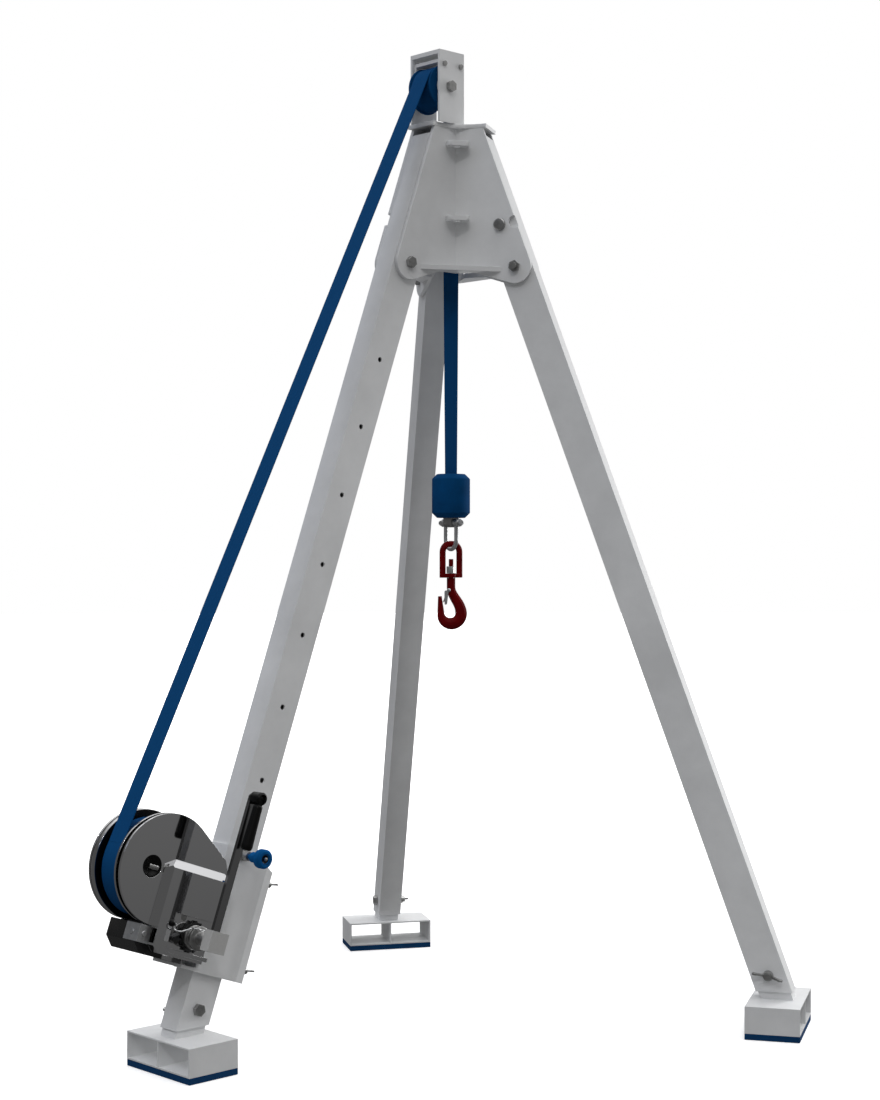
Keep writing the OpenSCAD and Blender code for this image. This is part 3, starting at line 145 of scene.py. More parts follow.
# %% White powder coat
white_coat, tree, shader, place = finish_named("powder_coat_white")
dust = add(tree, "ShaderNodeTexNoise", {"Vector": place, "Scale": per_size(180), "Detail": 6.0,
                                        "Roughness": 0.62})
peel = add(tree, "ShaderNodeTexNoise", {"Vector": place, "Scale": per_size(5), "Detail": 2.0})
tone = add(tree, "ShaderNodeValToRGB", {"Fac": dust.outputs["Fac"]})
tone.color_ramp.elements[0].position = 0.3
tone.color_ramp.elements[0].color = linear("#dcddde")
tone.color_ramp.elements[1].position = 0.68
tone.color_ramp.elements[1].color = linear("#ecedee")
gloss = add(tree, "ShaderNodeMapRange", {"Value": dust.outputs["Fac"], "From Min": 0.3, "From Max": 0.7,
                                         "To Min": 0.46, "To Max": 0.34})
bump = add(tree, "ShaderNodeBump", {"Height": peel.outputs["Fac"], "Strength": 0.12, "Distance": 0.0006})
tree.links.new(tone.outputs["Color"], shader.inputs["Base Color"])
tree.links.new(gloss.outputs["Result"], shader.inputs["Roughness"])
tree.links.new(bump.outputs["Normal"], shader.inputs["Normal"])
shader.inputs["IOR"].default_value = 1.5
print("finish:", white_coat.name)

# %% [markdown]
# ## Zinc-plated and polished steel
# Bolts, wing nuts and the brake's disc are plain steel with a grey zinc plating: a metal with a soft, slightly
# blotchy shine. The shackle is galvanised, lighter and duller. The brake's ratchet wheel gets a dark steel that is
# painted shade, standing for the shade in the cover's recess where it sits. The winch is bent from stainless sheet
# and polished, so it mirrors the studio, with only hair-fine scratches along the rolling direction. Grit and
# scratches are drawn at one and a half and three millimetres, coarser than they are, to show at all. All keep the
# metal's default IOR.

# %% Three dull steels
def dull_steel(name, dark, light, dullest, brightest):
    """A steel with a blotchy plating between two tones, and fine grit."""
    finish, tree, shader, place = finish_named(name)
    blotch = add(tree, "ShaderNodeTexNoise", {"Vector": place, "Scale": per_size(14), "Detail": 5.0})
    tone = add(tree, "ShaderNodeValToRGB", {"Fac": blotch.outputs["Fac"]})
    tone.color_ramp.elements[0].position = 0.32
    tone.color_ramp.elements[0].color = linear(dark)
    tone.color_ramp.elements[1].position = 0.7
    tone.color_ramp.elements[1].color = linear(light)
    gloss = add(tree, "ShaderNodeMapRange", {"Value": blotch.outputs["Fac"], "From Min": 0.3, "From Max": 0.7,
                                             "To Min": dullest, "To Max": brightest})
    grit = add(tree, "ShaderNodeTexNoise", {"Vector": place, "Scale": per_size(1.5), "Detail": 2.0})
    bump = add(tree, "ShaderNodeBump", {"Height": grit.outputs["Fac"], "Strength": 0.1, "Distance": 0.0002})
    tree.links.new(tone.outputs["Color"], shader.inputs["Base Color"])
    tree.links.new(gloss.outputs["Result"], shader.inputs["Roughness"])
    tree.links.new(bump.outputs["Normal"], shader.inputs["Normal"])
    shader.inputs["Metallic"].default_value = 1.0
    return finish


plated = dull_steel("zinc_plated_steel", "#979796", "#b8b8b7", 0.42, 0.3)
galvanised = dull_steel("galvanised_steel", "#c2c3c4", "#d8d9da", 0.5, 0.38)
# A dark steel as painted shade: it stands for the shade in the cover's recess round the ratchet wheel.
painted_shade_steel = dull_steel("dark_steel_painted_shade", "#4c4c4d", "#616162", 0.5, 0.36)
print("finishes:", plated.name, galvanised.name, painted_shade_steel.name)

# %% Polished stainless sheet
mirror_sheet, tree, shader, place = finish_named("polished_stainless")
hair_size = (per_size(3), per_size(3), per_size(120))
stretch = add(tree, "ShaderNodeMapping", {"Vector": place, "Scale": hair_size})
hairs = add(tree, "ShaderNodeTexNoise", {"Vector": stretch.outputs["Vector"], "Scale": 1.0, "Detail": 4.0})
smears = add(tree, "ShaderNodeTexNoise", {"Vector": place, "Scale": per_size(60), "Detail": 5.0})
gloss = add(tree, "ShaderNodeMapRange", {"Value": smears.outputs["Fac"], "From Min": 0.3, "From Max": 0.75,
                                         "To Min": 0.03, "To Max": 0.07})
bump = add(tree, "ShaderNodeBump", {"Height": hairs.outputs["Fac"], "Strength": 0.006, "Distance": 0.0002})
tree.links.new(gloss.outputs["Result"], shader.inputs["Roughness"])
tree.links.new(bump.outputs["Normal"], shader.inputs["Normal"])
shader.inputs["Base Color"].default_value = linear("#c3c3c4")
shader.inputs["Metallic"].default_value = 1.0
print("finish:", mirror_sheet.name)

# %% [markdown]
# ## Two steels in one piece
# The drum's rims are turned bright. Between them the metal is dull, and its near-black colour is painted shade: it
# stands for the shade and dark reflection in the drum's hollow, so the belt isn't mirrored in it. The crank is a
# dark steel bar in a block with a light grey lacquer. A mask worked out from the distance to the piece's own axis
# tells the two finishes apart.

# %% Drum steel
drum_at = Vector(joints["drum_spin"]["pos_m"])
rim_inside = 0.0366
rim_under = 0.1165
drum_steel, tree, shader, place = finish_named("turned_drum_steel")
off_axis = add(tree, "ShaderNodeVectorMath", {0: place, 1: drum_at}, operation="SUBTRACT")
parts_of = add(tree, "ShaderNodeSeparateXYZ", {"Vector": off_axis.outputs["Vector"]})
flat_off = add(tree, "ShaderNodeCombineXYZ", {"Y": parts_of.outputs["Y"], "Z": parts_of.outputs["Z"]})
away = add(tree, "ShaderNodeVectorMath", {0: flat_off.outputs["Vector"]}, operation="LENGTH")
sideways = add(tree, "ShaderNodeMath", {0: parts_of.outputs["X"]}, operation="ABSOLUTE")
within = add(tree, "ShaderNodeMath", {0: sideways.outputs["Value"], 1: rim_inside}, operation="LESS_THAN")
under = add(tree, "ShaderNodeMath", {0: away.outputs["Value"], 1: rim_under}, operation="LESS_THAN")
inside = add(tree, "ShaderNodeMath", {0: within.outputs["Value"], 1: under.outputs["Value"]},
             operation="MULTIPLY")
scale = add(tree, "ShaderNodeTexNoise", {"Vector": place, "Scale": per_size(12), "Detail": 4.0})
# Painted shade: between the rims the drum is coloured near black, standing for the shade and dark reflection in
# its hollow.
painted_shade_inside = add(tree, "ShaderNodeMix", {"Factor": scale.outputs["Fac"], "A": linear("#2c2c2d"),
                                     "B": linear("#3a3a3b")}, data_type="RGBA")
tone = add(tree, "ShaderNodeMix", {"Factor": inside.outputs["Value"], "A": linear("#b4b4b5"),
                                   "B": painted_shade_inside.outputs["Result"]}, data_type="RGBA")
gloss = add(tree, "ShaderNodeMapRange", {"Value": inside.outputs["Value"], "To Min": 0.12, "To Max": 0.34})
tree.links.new(tone.outputs["Result"], shader.inputs["Base Color"])
tree.links.new(gloss.outputs["Result"], shader.inputs["Roughness"])
shader.inputs["Metallic"].default_value = 1.0
print("finish:", drum_steel.name)

# %% Crank steel, with its bar along the leg
crank_at = Vector(joints["crank_spin"]["pos_m"])
up_leg = Vector(joints["carrier_slide"]["axis"]).normalized()
block_end = 0.0221
blur = 0.0002
crank_steel, tree, shader, place = finish_named("crank_steel_and_lacquer")
off_axis = add(tree, "ShaderNodeVectorMath", {0: place, 1: crank_at}, operation="SUBTRACT")
along = add(tree, "ShaderNodeVectorMath", {0: off_axis.outputs["Vector"], 1: up_leg}, operation="DOT_PRODUCT")
bar = add(tree, "ShaderNodeMapRange", {"Value": along.outputs["Value"], "From Min": block_end - blur,
                                       "From Max": block_end + blur})
grind = add(tree, "ShaderNodeTexNoise", {"Vector": place, "Scale": per_size(6), "Detail": 4.0})
worn = add(tree, "ShaderNodeMix", {"Factor": grind.outputs["Fac"], "A": linear("#b2b2b1"),
                                   "B": linear("#bebebd")}, data_type="RGBA")
tone = add(tree, "ShaderNodeMix", {"Factor": bar.outputs["Result"], "A": worn.outputs["Result"],
                                   "B": linear("#8a8a8b")}, data_type="RGBA")
gloss = add(tree, "ShaderNodeMapRange", {"Value": bar.outputs["Result"], "To Min": 0.5, "To Max": 0.16})
tree.links.new(tone.outputs["Result"], shader.inputs["Base Color"])
tree.links.new(gloss.outputs["Result"], shader.inputs["Roughness"])
tree.links.new(bar.outputs["Result"], shader.inputs["Metallic"])
print("finish:", crank_steel.name)

# %% [markdown]
# ## Plastics, rubber and paint
# The roller and the buffer are turned from blue cast nylon, which is dense and waxy, with fine tool marks.
# The plunger's knob is moulded from a lighter one. The pads under the feet are navy rubber. The grip is black
# moulded ABS with a spark-eroded grain. Hook and bail carry a dark red enamel over a rough forging, and the
# beam is painted black. Tool marks and grain are drawn two to four millimetres long, coarser than they are.

# %% Blue nylon
def blue_nylon(name, dark, light):
    """Waxy nylon, clouded between two tones."""
    finish, tree, shader, place = finish_named(name)
    cloud = add(tree, "ShaderNodeTexNoise", {"Vector": place, "Scale": per_size(40), "Detail": 4.0})
    tooling = add(tree, "ShaderNodeTexNoise", {"Vector": place, "Scale": per_size(2.5), "Detail": 2.0})
    tone = add(tree, "ShaderNodeValToRGB", {"Fac": cloud.outputs["Fac"]})
    tone.color_ramp.elements[0].position = 0.35
    tone.color_ramp.elements[0].color = linear(dark)
    tone.color_ramp.elements[1].position = 0.7
    tone.color_ramp.elements[1].color = linear(light)
    bump = add(tree, "ShaderNodeBump", {"Height": tooling.outputs["Fac"], "Strength": 0.1,
                                        "Distance": 0.0003})
    tree.links.new(tone.outputs["Color"], shader.inputs["Base Color"])
    tree.links.new(bump.outputs["Normal"], shader.inputs["Normal"])
    shader.inputs["Roughness"].default_value = 0.8
    shader.inputs["IOR"].default_value = 1.53
    shader.inputs["Specular IOR Level"].default_value = 0.04
    return finish


nylon = blue_nylon("cast_nylon_blue", "#053e6c", "#06467a")
knob_nylon = blue_nylon("moulded_nylon_blue", "#0b5794", "#0d62a6")
print("finishes:", nylon.name, knob_nylon.name)

# %% Navy rubber
rubber, tree, shader, place = finish_named("moulded_rubber_navy")
grain = add(tree, "ShaderNodeTexNoise", {"Vector": place, "Scale": per_size(4), "Detail": 4.0})
scuff = add(tree, "ShaderNodeTexNoise", {"Vector": place, "Scale": per_size(35), "Detail": 5.0})
tone = add(tree, "ShaderNodeValToRGB", {"Fac": scuff.outputs["Fac"]})
tone.color_ramp.elements[0].position = 0.4
tone.color_ramp.elements[0].color = linear("#083a66")
tone.color_ramp.elements[1].position = 0.75
tone.color_ramp.elements[1].color = linear("#0c4270")
bump = add(tree, "ShaderNodeBump", {"Height": grain.outputs["Fac"], "Strength": 0.3, "Distance": 0.0006})
tree.links.new(tone.outputs["Color"], shader.inputs["Base Color"])
tree.links.new(bump.outputs["Normal"], shader.inputs["Normal"])
shader.inputs["Roughness"].default_value = 0.72
shader.inputs["IOR"].default_value = 1.52
shader.inputs["Specular IOR Level"].default_value = 0.12
print("finish:", rubber.name)

# %% Red enamel on a forging
enamel, tree, shader, place = finish_named("enamel_red_on_forging")
forged = add(tree, "ShaderNodeTexNoise", {"Vector": place, "Scale": per_size(7), "Detail": 5.0})
pool = add(tree, "ShaderNodeTexNoise", {"Vector": place, "Scale": per_size(25), "Detail": 3.0})
tone = add(tree, "ShaderNodeValToRGB", {"Fac": pool.outputs["Fac"]})
tone.color_ramp.elements[0].position = 0.3
tone.color_ramp.elements[0].color = linear("#5a0004")
tone.color_ramp.elements[1].position = 0.75
tone.color_ramp.elements[1].color = linear("#700306")
bump = add(tree, "ShaderNodeBump", {"Height": forged.outputs["Fac"], "Strength": 0.25, "Distance": 0.0008})
tree.links.new(tone.outputs["Color"], shader.inputs["Base Color"])
tree.links.new(bump.outputs["Normal"], shader.inputs["Normal"])
shader.inputs["Roughness"].default_value = 0.5
shader.inputs["IOR"].default_value = 1.5
shader.inputs["Specular IOR Level"].default_value = 0.06
print("finish:", enamel.name)

# %% Black ABS and black paint
black_abs, tree, shader, place = finish_named("moulded_abs_black")
grain = add(tree, "ShaderNodeTexNoise", {"Vector": place, "Scale": per_size(1.6), "Detail": 3.0})
gloss = add(tree, "ShaderNodeMapRange", {"Value": grain.outputs["Fac"], "To Min": 0.3, "To Max": 0.46})
bump = add(tree, "ShaderNodeBump", {"Height": grain.outputs["Fac"], "Strength": 0.2, "Distance": 0.0003})
tree.links.new(gloss.outputs["Result"], shader.inputs["Roughness"])
tree.links.new(bump.outputs["Normal"], shader.inputs["Normal"])
shader.inputs["Base Color"].default_value = linear("#0a0a0a")
shader.inputs["IOR"].default_value = 1.54
shader.inputs["Specular IOR Level"].default_value = 0.14

black_paint, tree, shader, place = finish_named("stove_paint_black")
brushed = add(tree, "ShaderNodeTexNoise", {"Vector": place, "Scale": per_size(9), "Detail": 4.0})
gloss = add(tree, "ShaderNodeMapRange", {"Value": brushed.outputs["Fac"], "To Min": 0.16, "To Max": 0.34})
bump = add(tree, "ShaderNodeBump", {"Height": brushed.outputs["Fac"], "Strength": 0.08, "Distance": 0.0004})
tree.links.new(gloss.outputs["Result"], shader.inputs["Roughness"])
tree.links.new(bump.outputs["Normal"], shader.inputs["Normal"])
shader.inputs["Base Color"].default_value = linear("#0b0b0c")
shader.inputs["IOR"].default_value = 1.5
print("finishes:", black_abs.name, black_paint.name)

# %% [markdown]
# ## Polyester webbing
# The hoisting belt is flat woven polyester, five centimetres wide. Its threads cross about every millimetre
# and a half, too fine for this picture, so the weave is drawn at four millimetres. The pattern follows the
# belt's own length and width, which the mesh stores in metres as its UV map, so it bends with the belt.

# %% Blue webbing
webbing = bpy.data.materials.new("woven_polyester_blue")
webbing.use_nodes = True
tree = webbing.node_tree
shader = tree.nodes["Principled BSDF"]
uv = add(tree, "ShaderNodeUVMap", uv_map="along_across").outputs["UV"]
turn = add(tree, "ShaderNodeMapping", {"Vector": uv, "Rotation": (0, 0, math.radians(45)),
                                       "Scale": (per_size(4), per_size(4), 1)})
one_band = 0.314
bands = {"Vector": turn.outputs["Vector"], "Scale": one_band, "Distortion": 0.6}
weft = add(tree, "ShaderNodeTexWave", bands, wave_type="BANDS", bands_direction="X")
warp = add(tree, "ShaderNodeTexWave", bands, wave_type="BANDS", bands_direction="Y")
cross = add(tree, "ShaderNodeMath", {0: weft.outputs["Fac"], 1: warp.outputs["Fac"]}, operation="MAXIMUM")
fade = add(tree, "ShaderNodeTexNoise", {"Vector": uv, "Scale": per_size(90), "Detail": 4.0})
thread = add(tree, "ShaderNodeMix", {"Factor": cross.outputs["Value"], "A": linear("#063b69"),
                                     "B": linear("#084a7e")}, data_type="RGBA")
sunned = add(tree, "ShaderNodeMix", {"Factor": fade.outputs["Fac"], "A": thread.outputs["Result"],
                                     "B": linear("#074274")}, data_type="RGBA")
bump = add(tree, "ShaderNodeBump", {"Height": cross.outputs["Value"], "Strength": 0.35, "Distance": 0.0008})
tree.links.new(sunned.outputs["Result"], shader.inputs["Base Color"])
tree.links.new(bump.outputs["Normal"], shader.inputs["Normal"])
shader.inputs["Roughness"].default_value = 0.78
shader.inputs["Sheen Weight"].default_value = 0.01
shader.inputs["IOR"].default_value = 1.5
shader.inputs["Specular IOR Level"].default_value = 0.04
print("materials:", len(bpy.data.materials))

# %% [markdown]
# ## Finishes on the solids
# Each solid keeps its shape and only changes its finish. The record says which solids share a finish, so one
# small table from the record's slots to the new materials dresses them all.

# %% Give every solid its finish
by_slot = {
    "white_paint": white_coat, "plain_steel": plated, "polished_steel": mirror_sheet, "blue_plastic": nylon,
    "blue_webbing": webbing, "navy_rubber": rubber, "red_paint": enamel, "black_plastic": black_abs,
    "black_paint": black_paint,
}
for part in frame["record"]["subparts"]:
    mesh = nodes[part["node"]].data
    mesh.materials.clear()
    mesh.materials.append(by_slot[part["material_slot"]])
# The drum's finish carries painted shade between its rims.
nodes["drum"].data.materials[0] = drum_steel
nodes["crank_arm"].data.materials[0] = crank_steel
nodes["plunger_knob"].data.materials[0] = knob_nylon
for name in ("shackle", "shackle_pin", "shank_nut", "latch", "end_block"):
    nodes[name].data.materials[0] = galvanised
# The ratchet wheel takes that dark steel as painted shade.
nodes["brake_ratchet"].data.materials[0] = painted_shade_steel
nodes["brake_disc"].data.materials[0] = plated

# %% [markdown]
# ## The belt's path
# The belt leaves the winding on a straight tangent, passes over the roller and hangs down to the hook. The
# joints give the two centres, and the couplings give the two radii, because the hook climbs by one radius for
# each radian. The tangent then follows from a right-angled triangle.

# %% Work out the belt's tangent
coil_radius = ratios["hook_lift"]
roller_radius = coil_radius / ratios["roller_spin"]
roller_at = Vector(joints["roller_spin"]["pos_m"])
span = (roller_at - drum_at).length
ahead = (roller_at - drum_at).normalized()
square = Vector((0, -ahead.z, ahead.y))
lean_in = math.asin((coil_radius - roller_radius) / span)
off_belt = math.cos(lean_in) * square + math.sin(lean_in) * ahead
leave_angle = math.atan2(off_belt.z, off_belt.y)
run_from = drum_at + coil_radius * off_belt
run_to = roller_at + roller_radius * off_belt
up_run = (run_to - run_from).normalized()
print("belt runs", round((run_to - run_from).length, 3), "m from the drum to the roller")

# %% [markdown]
# ## Weaving a strip
# A belt is a swept section: flat in the middle with two rounded selvedges. The sweep takes a list of places
# along the way, each with the direction out of the belt's face and the direction of its width. It also lays
# the UV map in metres. A second ring close to each end keeps the end's own shading off the face, so that two
# pieces meet without a line.

# %% From a shape to a piece
def put(name, shape, finish, body=None):
    """Turn a finished shape into a piece, which rides on a body if one is named."""
    bmesh.ops.recalc_face_normals(shape, faces=shape.faces)
    mesh = bpy.data.meshes.new(name)
    shape.to_mesh(mesh)
    shape.free()
    mesh.materials.append(finish)
    piece = bpy.data.objects.new(name, mesh)
    bpy.context.scene.collection.objects.link(piece)
    if body:
        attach(piece, body)
    return piece


# %% The belt's section
belt_width = 0.052
belt_thick = 0.003
pressed = 0.92
belt_across = [-1, -0.965, -0.9, -0.55, 0, 0.55, 0.9, 0.965, 1]
belt_height = [0.35, 0.9, 1, 0.94, 0.97, 0.94, 1, 0.9, 0.35]
upper_side = [(belt_width / 2 * a, belt_thick / 2 * pressed * h) for a, h in zip(belt_across, belt_height)]
belt_section = upper_side + [(a, -h) for a, h in reversed(upper_side)]
print("belt", 1000 * belt_width, "mm wide,", 1000 * belt_thick, "mm thick")


# %% A swept belt
def belt(name, way, body=None, begin=0.0):
    """Sweep the belt's section along [(point, face, side), ...]; the weave starts at begin, in metres."""
    near = 0.0004
    first, last = way[0], way[-1]
    to_second = (way[1][0] - first[0]).normalized()
    to_before = (way[-2][0] - last[0]).normalized()
    after_first = (first[0] + near * to_second, *first[1:])
    before_last = (last[0] + near * to_before, *last[1:])
    way = [first, after_first, *way[1:-1], before_last, last]
    shape = bmesh.new()
    uv = shape.loops.layers.uv.new("along_across")
    rows = []
    along = [begin]
    for i, (point, face, side) in enumerate(way):
        if i:
            along.append(along[-1] + (point - way[i - 1][0]).length)
        rows.append([shape.verts.new(point + side * a + face * h) for a, h in belt_section])
    count = len(belt_section)
    for i in range(len(rows) - 1):
        for k in range(count):
            quad = (rows[i][k], rows[i][(k + 1) % count], rows[i + 1][(k + 1) % count], rows[i + 1][k])
            made = shape.faces.new(quad)
            made.smooth = True
            places = ((i, k), (i, k + 1), (i + 1, k + 1), (i + 1, k))
            for loop, (row, col) in zip(made.loops, places):
                loop[uv].uv = (along[row], belt_section[col % count][0])
    shape.faces.new(list(reversed(rows[0])))
    shape.faces.new(rows[-1])
    return put(name, shape, webbing, body)


# %% Places along the way
right = Vector((1, 0, 0))


def straight(a, b, step=0.02):
    """Places along a straight stretch of the run between drum and roller."""
    count = max(2, int((b - a).length / step))
    return [(a.lerp(b, i / count), off_belt, right) for i in range(count + 1)]


def turn_about(centre, radius, start, end, step=4):
    """Places round a roller or drum, by angle from +Y towards +Z in degrees."""
    count = max(2, int(abs(end - start) / step))
    way = []
    for i in range(count + 1):
        angle = math.radians(start + (end - start) * i / count)
        out = Vector((0, math.cos(angle), math.sin(angle)))
        way.append((centre + radius * out, out, right))
    return way


# %% [markdown]
# ## Laying the belt
# The stretch between drum and roller is in two pieces, because two joints move it: the upper piece is fixed in
# place, and the lower one rides on the leg, stays straight and ends at the drum. Its ends are cut square to the
# leg. The hanging piece turns a little on its way down. The wrap rides on the carrier, and the winding rides on
# the drum.

# %% Where the pieces meet
out_leg = Vector((0, -up_leg.z, up_leg.y))
upper_length = 0.22
end_length = 0.015
fine_step = 0.004
run_split = run_to - upper_length * up_run
meet = run_from + end_length * up_run
leave = run_to - end_length * up_run
hair = 0.0001
hair_short = meet.lerp(run_split, hair)


def mitred(way, *ends):
    """Cut these ends of a straight stretch square to the leg, at the belt's own thickness."""
    for end in ends:
        way[end] = (way[end][0], out_leg / out_leg.dot(off_belt), way[end][2])
    return way


print("upper piece", upper_length, "m, lower piece", round((run_split - meet).length, 3), "m")

# %% The run between drum and roller
upper = belt("webbing_upper_run", mitred(straight(leave, run_split), -1), begin=end_length - upper_length)
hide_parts("belt_lead")
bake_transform(upper)
lower = belt("webbing_lower_run", mitred(straight(run_split, hair_short), 0, -1), "leg_w")
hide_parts("belt_run")
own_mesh(lower)

# %% Over the roller and round the drum
valley_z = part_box("belt_over")[0].z
leave_degrees = math.degrees(leave_angle)
wrap_degrees = 250
over = [(Vector((0, 0, valley_z)), Vector((0, 1, 0)), right)]
over += turn_about(roller_at, roller_radius, 0, leave_degrees)
over += straight(run_to, leave, fine_step)[1:]
over_roller = belt("webbing_over_roller", over, "head")
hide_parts("belt_over")
on_drum = mitred(straight(meet, run_from, fine_step)[:-1], 0)
on_drum += turn_about(drum_at, coil_radius, leave_degrees, leave_degrees + wrap_degrees)
wrap = belt("webbing_on_drum", on_drum, "carrier", begin=(run_split - meet).length)
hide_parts("belt_wrap")
print("wrapped", wrap_degrees, "degrees round the drum")

# %% Down to the hook
belt_end_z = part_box("belt_fall")[0].z
hang_steps = 40
hang_twist = math.radians(-11)
hang = []
for i in range(hang_steps + 1):
    twist = hang_twist * i / hang_steps
    side = Vector((math.cos(twist), math.sin(twist), 0))
    face = Vector((-math.sin(twist), math.cos(twist), 0))
    hang.append((Vector((0, 0, valley_z + (belt_end_z - valley_z) * i / hang_steps)), face, side))
fall = belt("webbing_to_hook", hang)
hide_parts("belt_fall")
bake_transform(fall)
print("belt hangs down to", round(belt_end_z, 3), "m")

# %% The winding on the drum
layers = 8
layer_pitch = 0.0035
layer_gap = 0.0006
turn_steps = 60
outer = coil_radius - belt_thick - layer_gap
spiral = []
for i in range(layers * turn_steps + 1):
    turns_left = layers - i / turn_steps
    angle = math.radians(leave_degrees + wrap_degrees + 360 * turns_left)
    out = Vector((0, math.cos(angle), math.sin(angle)))
    spiral.append((drum_at + (outer - layer_pitch * turns_left) * out, out, right))
winding = belt("webbing_winding", spiral, "drum")
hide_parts("belt_winding")
print("winding:", layers, "layers")

# %% [markdown]
# ## Softened edges
# No cut, bent or moulded edge is perfectly sharp: each has a small radius that catches a line of light. A
# bevel modifier adds that radius and leaves the solid's own mesh alone. The solids come with split corners,
# so a weld modifier joins them first, and a planar decimate clears the triangles inside each flat face.

# %% Round the solids' edges
edge_mm = {
    "white_paint": 1.0, "plain_steel": 0.6, "polished_steel": 0.7, "blue_plastic": 1.0, "navy_rubber": 1.2,
    "red_paint": 1.0, "black_plastic": 0.8, "black_paint": 0.8,
}
wider_mm = {"leg_tube_w": 2.5, "leg_tube_r": 2.5, "leg_tube_b": 2.5, "crank_arm": 2.0}
for part in frame["record"]["subparts"]:
    if part["material_slot"] not in edge_mm:
        continue
    solid = nodes[part["node"]]
    joined = solid.modifiers.new("joined_corners", "WELD")
    joined.merge_threshold = 0.00001
    flat = solid.modifiers.new("flat_faces", "DECIMATE")
    flat.decimate_type = "DISSOLVE"
    flat.angle_limit = math.radians(0.2)
    radius = solid.modifiers.new("edge_radius", "BEVEL")
    radius.width = wider_mm.get(part["node"], edge_mm[part["material_slot"]]) / 1000
    radius.segments = 2
    radius.limit_method = "ANGLE"
    radius.angle_limit = math.radians(38)
    radius.harden_normals = True
print("edges rounded on", sum(1 for node in nodes.values() if node.modifiers))

# %% [markdown]
# ## Small pieces on the winch and the hook
# A few pieces are too small for the solids: the bearing cap behind the window in the winch's side, the pawl's
# wire with its ball, an angle strip under the side plates, the steel end of the index pin, and the latch's
# rivets and flaps. Most are turned or drawn parts, so a profile that spins about an axis or an oval that runs
# along a curve makes them, and the flat ones are an outline with a thickness. Sizes are in millimetres.

# %% Places on the winch and round sections
def by_drum(out, up, along):
    """A place by its millimetres from the drum's axis: off the leg, up the leg and along the axis."""
    return drum_at + (out * out_leg + up * up_leg + along * right) / 1000


def circle(sides):
    """Cosine and sine of each corner of a round section."""
    angles = [math.tau * k / sides for k in range(sides)]
    return [(math.cos(angle), math.sin(angle)) for angle in angles]


def skin(shape, rings):
    """Join rings of corners into a smooth tube with closed ends."""
    count = len(rings[0])
    for low, high in zip(rings, rings[1:]):
        for k in range(count):
            after = (k + 1) % count
            shape.faces.new((low[k], low[after], high[after], high[k])).smooth = True
    shape.faces.new(rings[0])
    shape.faces.new(rings[-1])


# %% Turned pieces
def turned(name, profile, at, axis, finish, body):
    """Spin [(radius, height), ...] about an axis through a place."""
    axis = Vector(axis).normalized()
    level = axis.orthogonal().normalized()
    other = axis.cross(level)
    shape = bmesh.new()
    rings = []
    for radius, height in profile:
        corners = [axis * height + radius * (level * c + other * s) for c, s in circle(48)]
        rings.append([shape.verts.new(at + corner / 1000) for corner in corners])
    skin(shape, rings)
    return put(name, shape, finish, body)


# %% Drawn pieces
def smoothed(places, steps=8):
    """A smooth curve through places: a cubic between each two, with its slopes from their neighbours."""
    ends = [2 * places[0] - places[1]] + places + [2 * places[-1] - places[-2]]
    way = []
    for a, b, c, d in zip(ends, ends[1:], ends[2:], ends[3:]):
        for i in range(steps):
            k = i / steps
            way.append(0.5 * (2 * b + (c - a) * k + (2 * a - 5 * b + 4 * c - d) * k ** 2
                              + (3 * b - a - 3 * c + d) * k ** 3))
    return way + [places[-1]]


def drawn_rod(name, places, radii, finish, body, tall):
    """A bar of oval section along a curve; tall is the direction of the second radius."""
    way = smoothed(places)
    shape = bmesh.new()
    rings = []
    for i, place in enumerate(way):
        forward = (way[min(i + 1, len(way) - 1)] - way[max(i - 1, 0)]).normalized()
        high = (tall - forward * tall.dot(forward)).normalized()
        wide = forward.cross(high)
        corners = [wide * radii[0] * c + high * radii[1] * s for c, s in circle(16)]
        rings.append([shape.verts.new(place + corner / 1000) for corner in corners])
    skin(shape, rings)
    return put(name, shape, finish, body)


# %% Flat pieces
def flat_piece(name, rims, radius, steps, finish, body):
    """Close two outlines of places into a plate, and round its edges by a radius."""
    shape = bmesh.new()
    near, far = [[shape.verts.new(place) for place in rim] for rim in rims]
    for k in range(len(near)):
        after = (k + 1) % len(near)
        shape.faces.new((near[k], near[after], far[after], far[k]))
    shape.faces.new(near)
    shape.faces.new(far)
    bmesh.ops.bevel(shape, geom=shape.edges[:], offset=radius / 1000, segments=steps, affect="EDGES")
    return put(name, shape, finish, body)


# %% Bearing cap behind the window
cap = [(0.5, 0), (22.4, 0), (23.2, 0.6), (23.2, 3.4), (22.6, 4), (20.6, 4), (20, 3.4), (19.6, 1.6),
       (0.5, 1.2)]
turned("bearing_cap", cap, by_drum(40, -1.5, 52.3), right, black_abs, "carrier")
bar_places = [by_drum(out, -2.5, 55.6) for out in (46, 41, 35, 29, 22.5)]
drawn_rod("bearing_stop", bar_places, (2.4, 5.2), plated, "carrier", up_leg)
print("bearing cap", 2 * max(radius for radius, height in cap), "mm across")

# %% Pawl wire with its ball
wire = [(-31.5, -104.5, 90), (-33.5, -112.5, 90), (-39.5, -115.5, 90), (-48.5, -115.5, 90), (-55, -114.3, 90),
        (-66.3, -109.1, 90), (-78, -103.5, 90), (-81, -102, 97), (-90, -101.6, 98), (-100, -101.4, 98),
        (-110, -101.2, 98), (-120, -101, 98)]
wire = [by_drum(*place) for place in wire]
drawn_rod("pawl_wire", wire, (1.5, 1.7), galvanised, "carrier", out_leg)
print("pawl wire through", len(wire), "places")
ball_radius = 7.4
ball_at = by_drum(-24.5, -103, 90)
stem = wire[0] - ball_at
ball = [(ball_radius * math.sin(math.radians(a)), -ball_radius * math.cos(math.radians(a)))
        for a in range(6, 160, 8)]
ball += [(2.8, 7.6), (2.8, 9)]
ball_piece = turned("pawl_ball", ball, ball_at, stem, black_abs, "carrier")

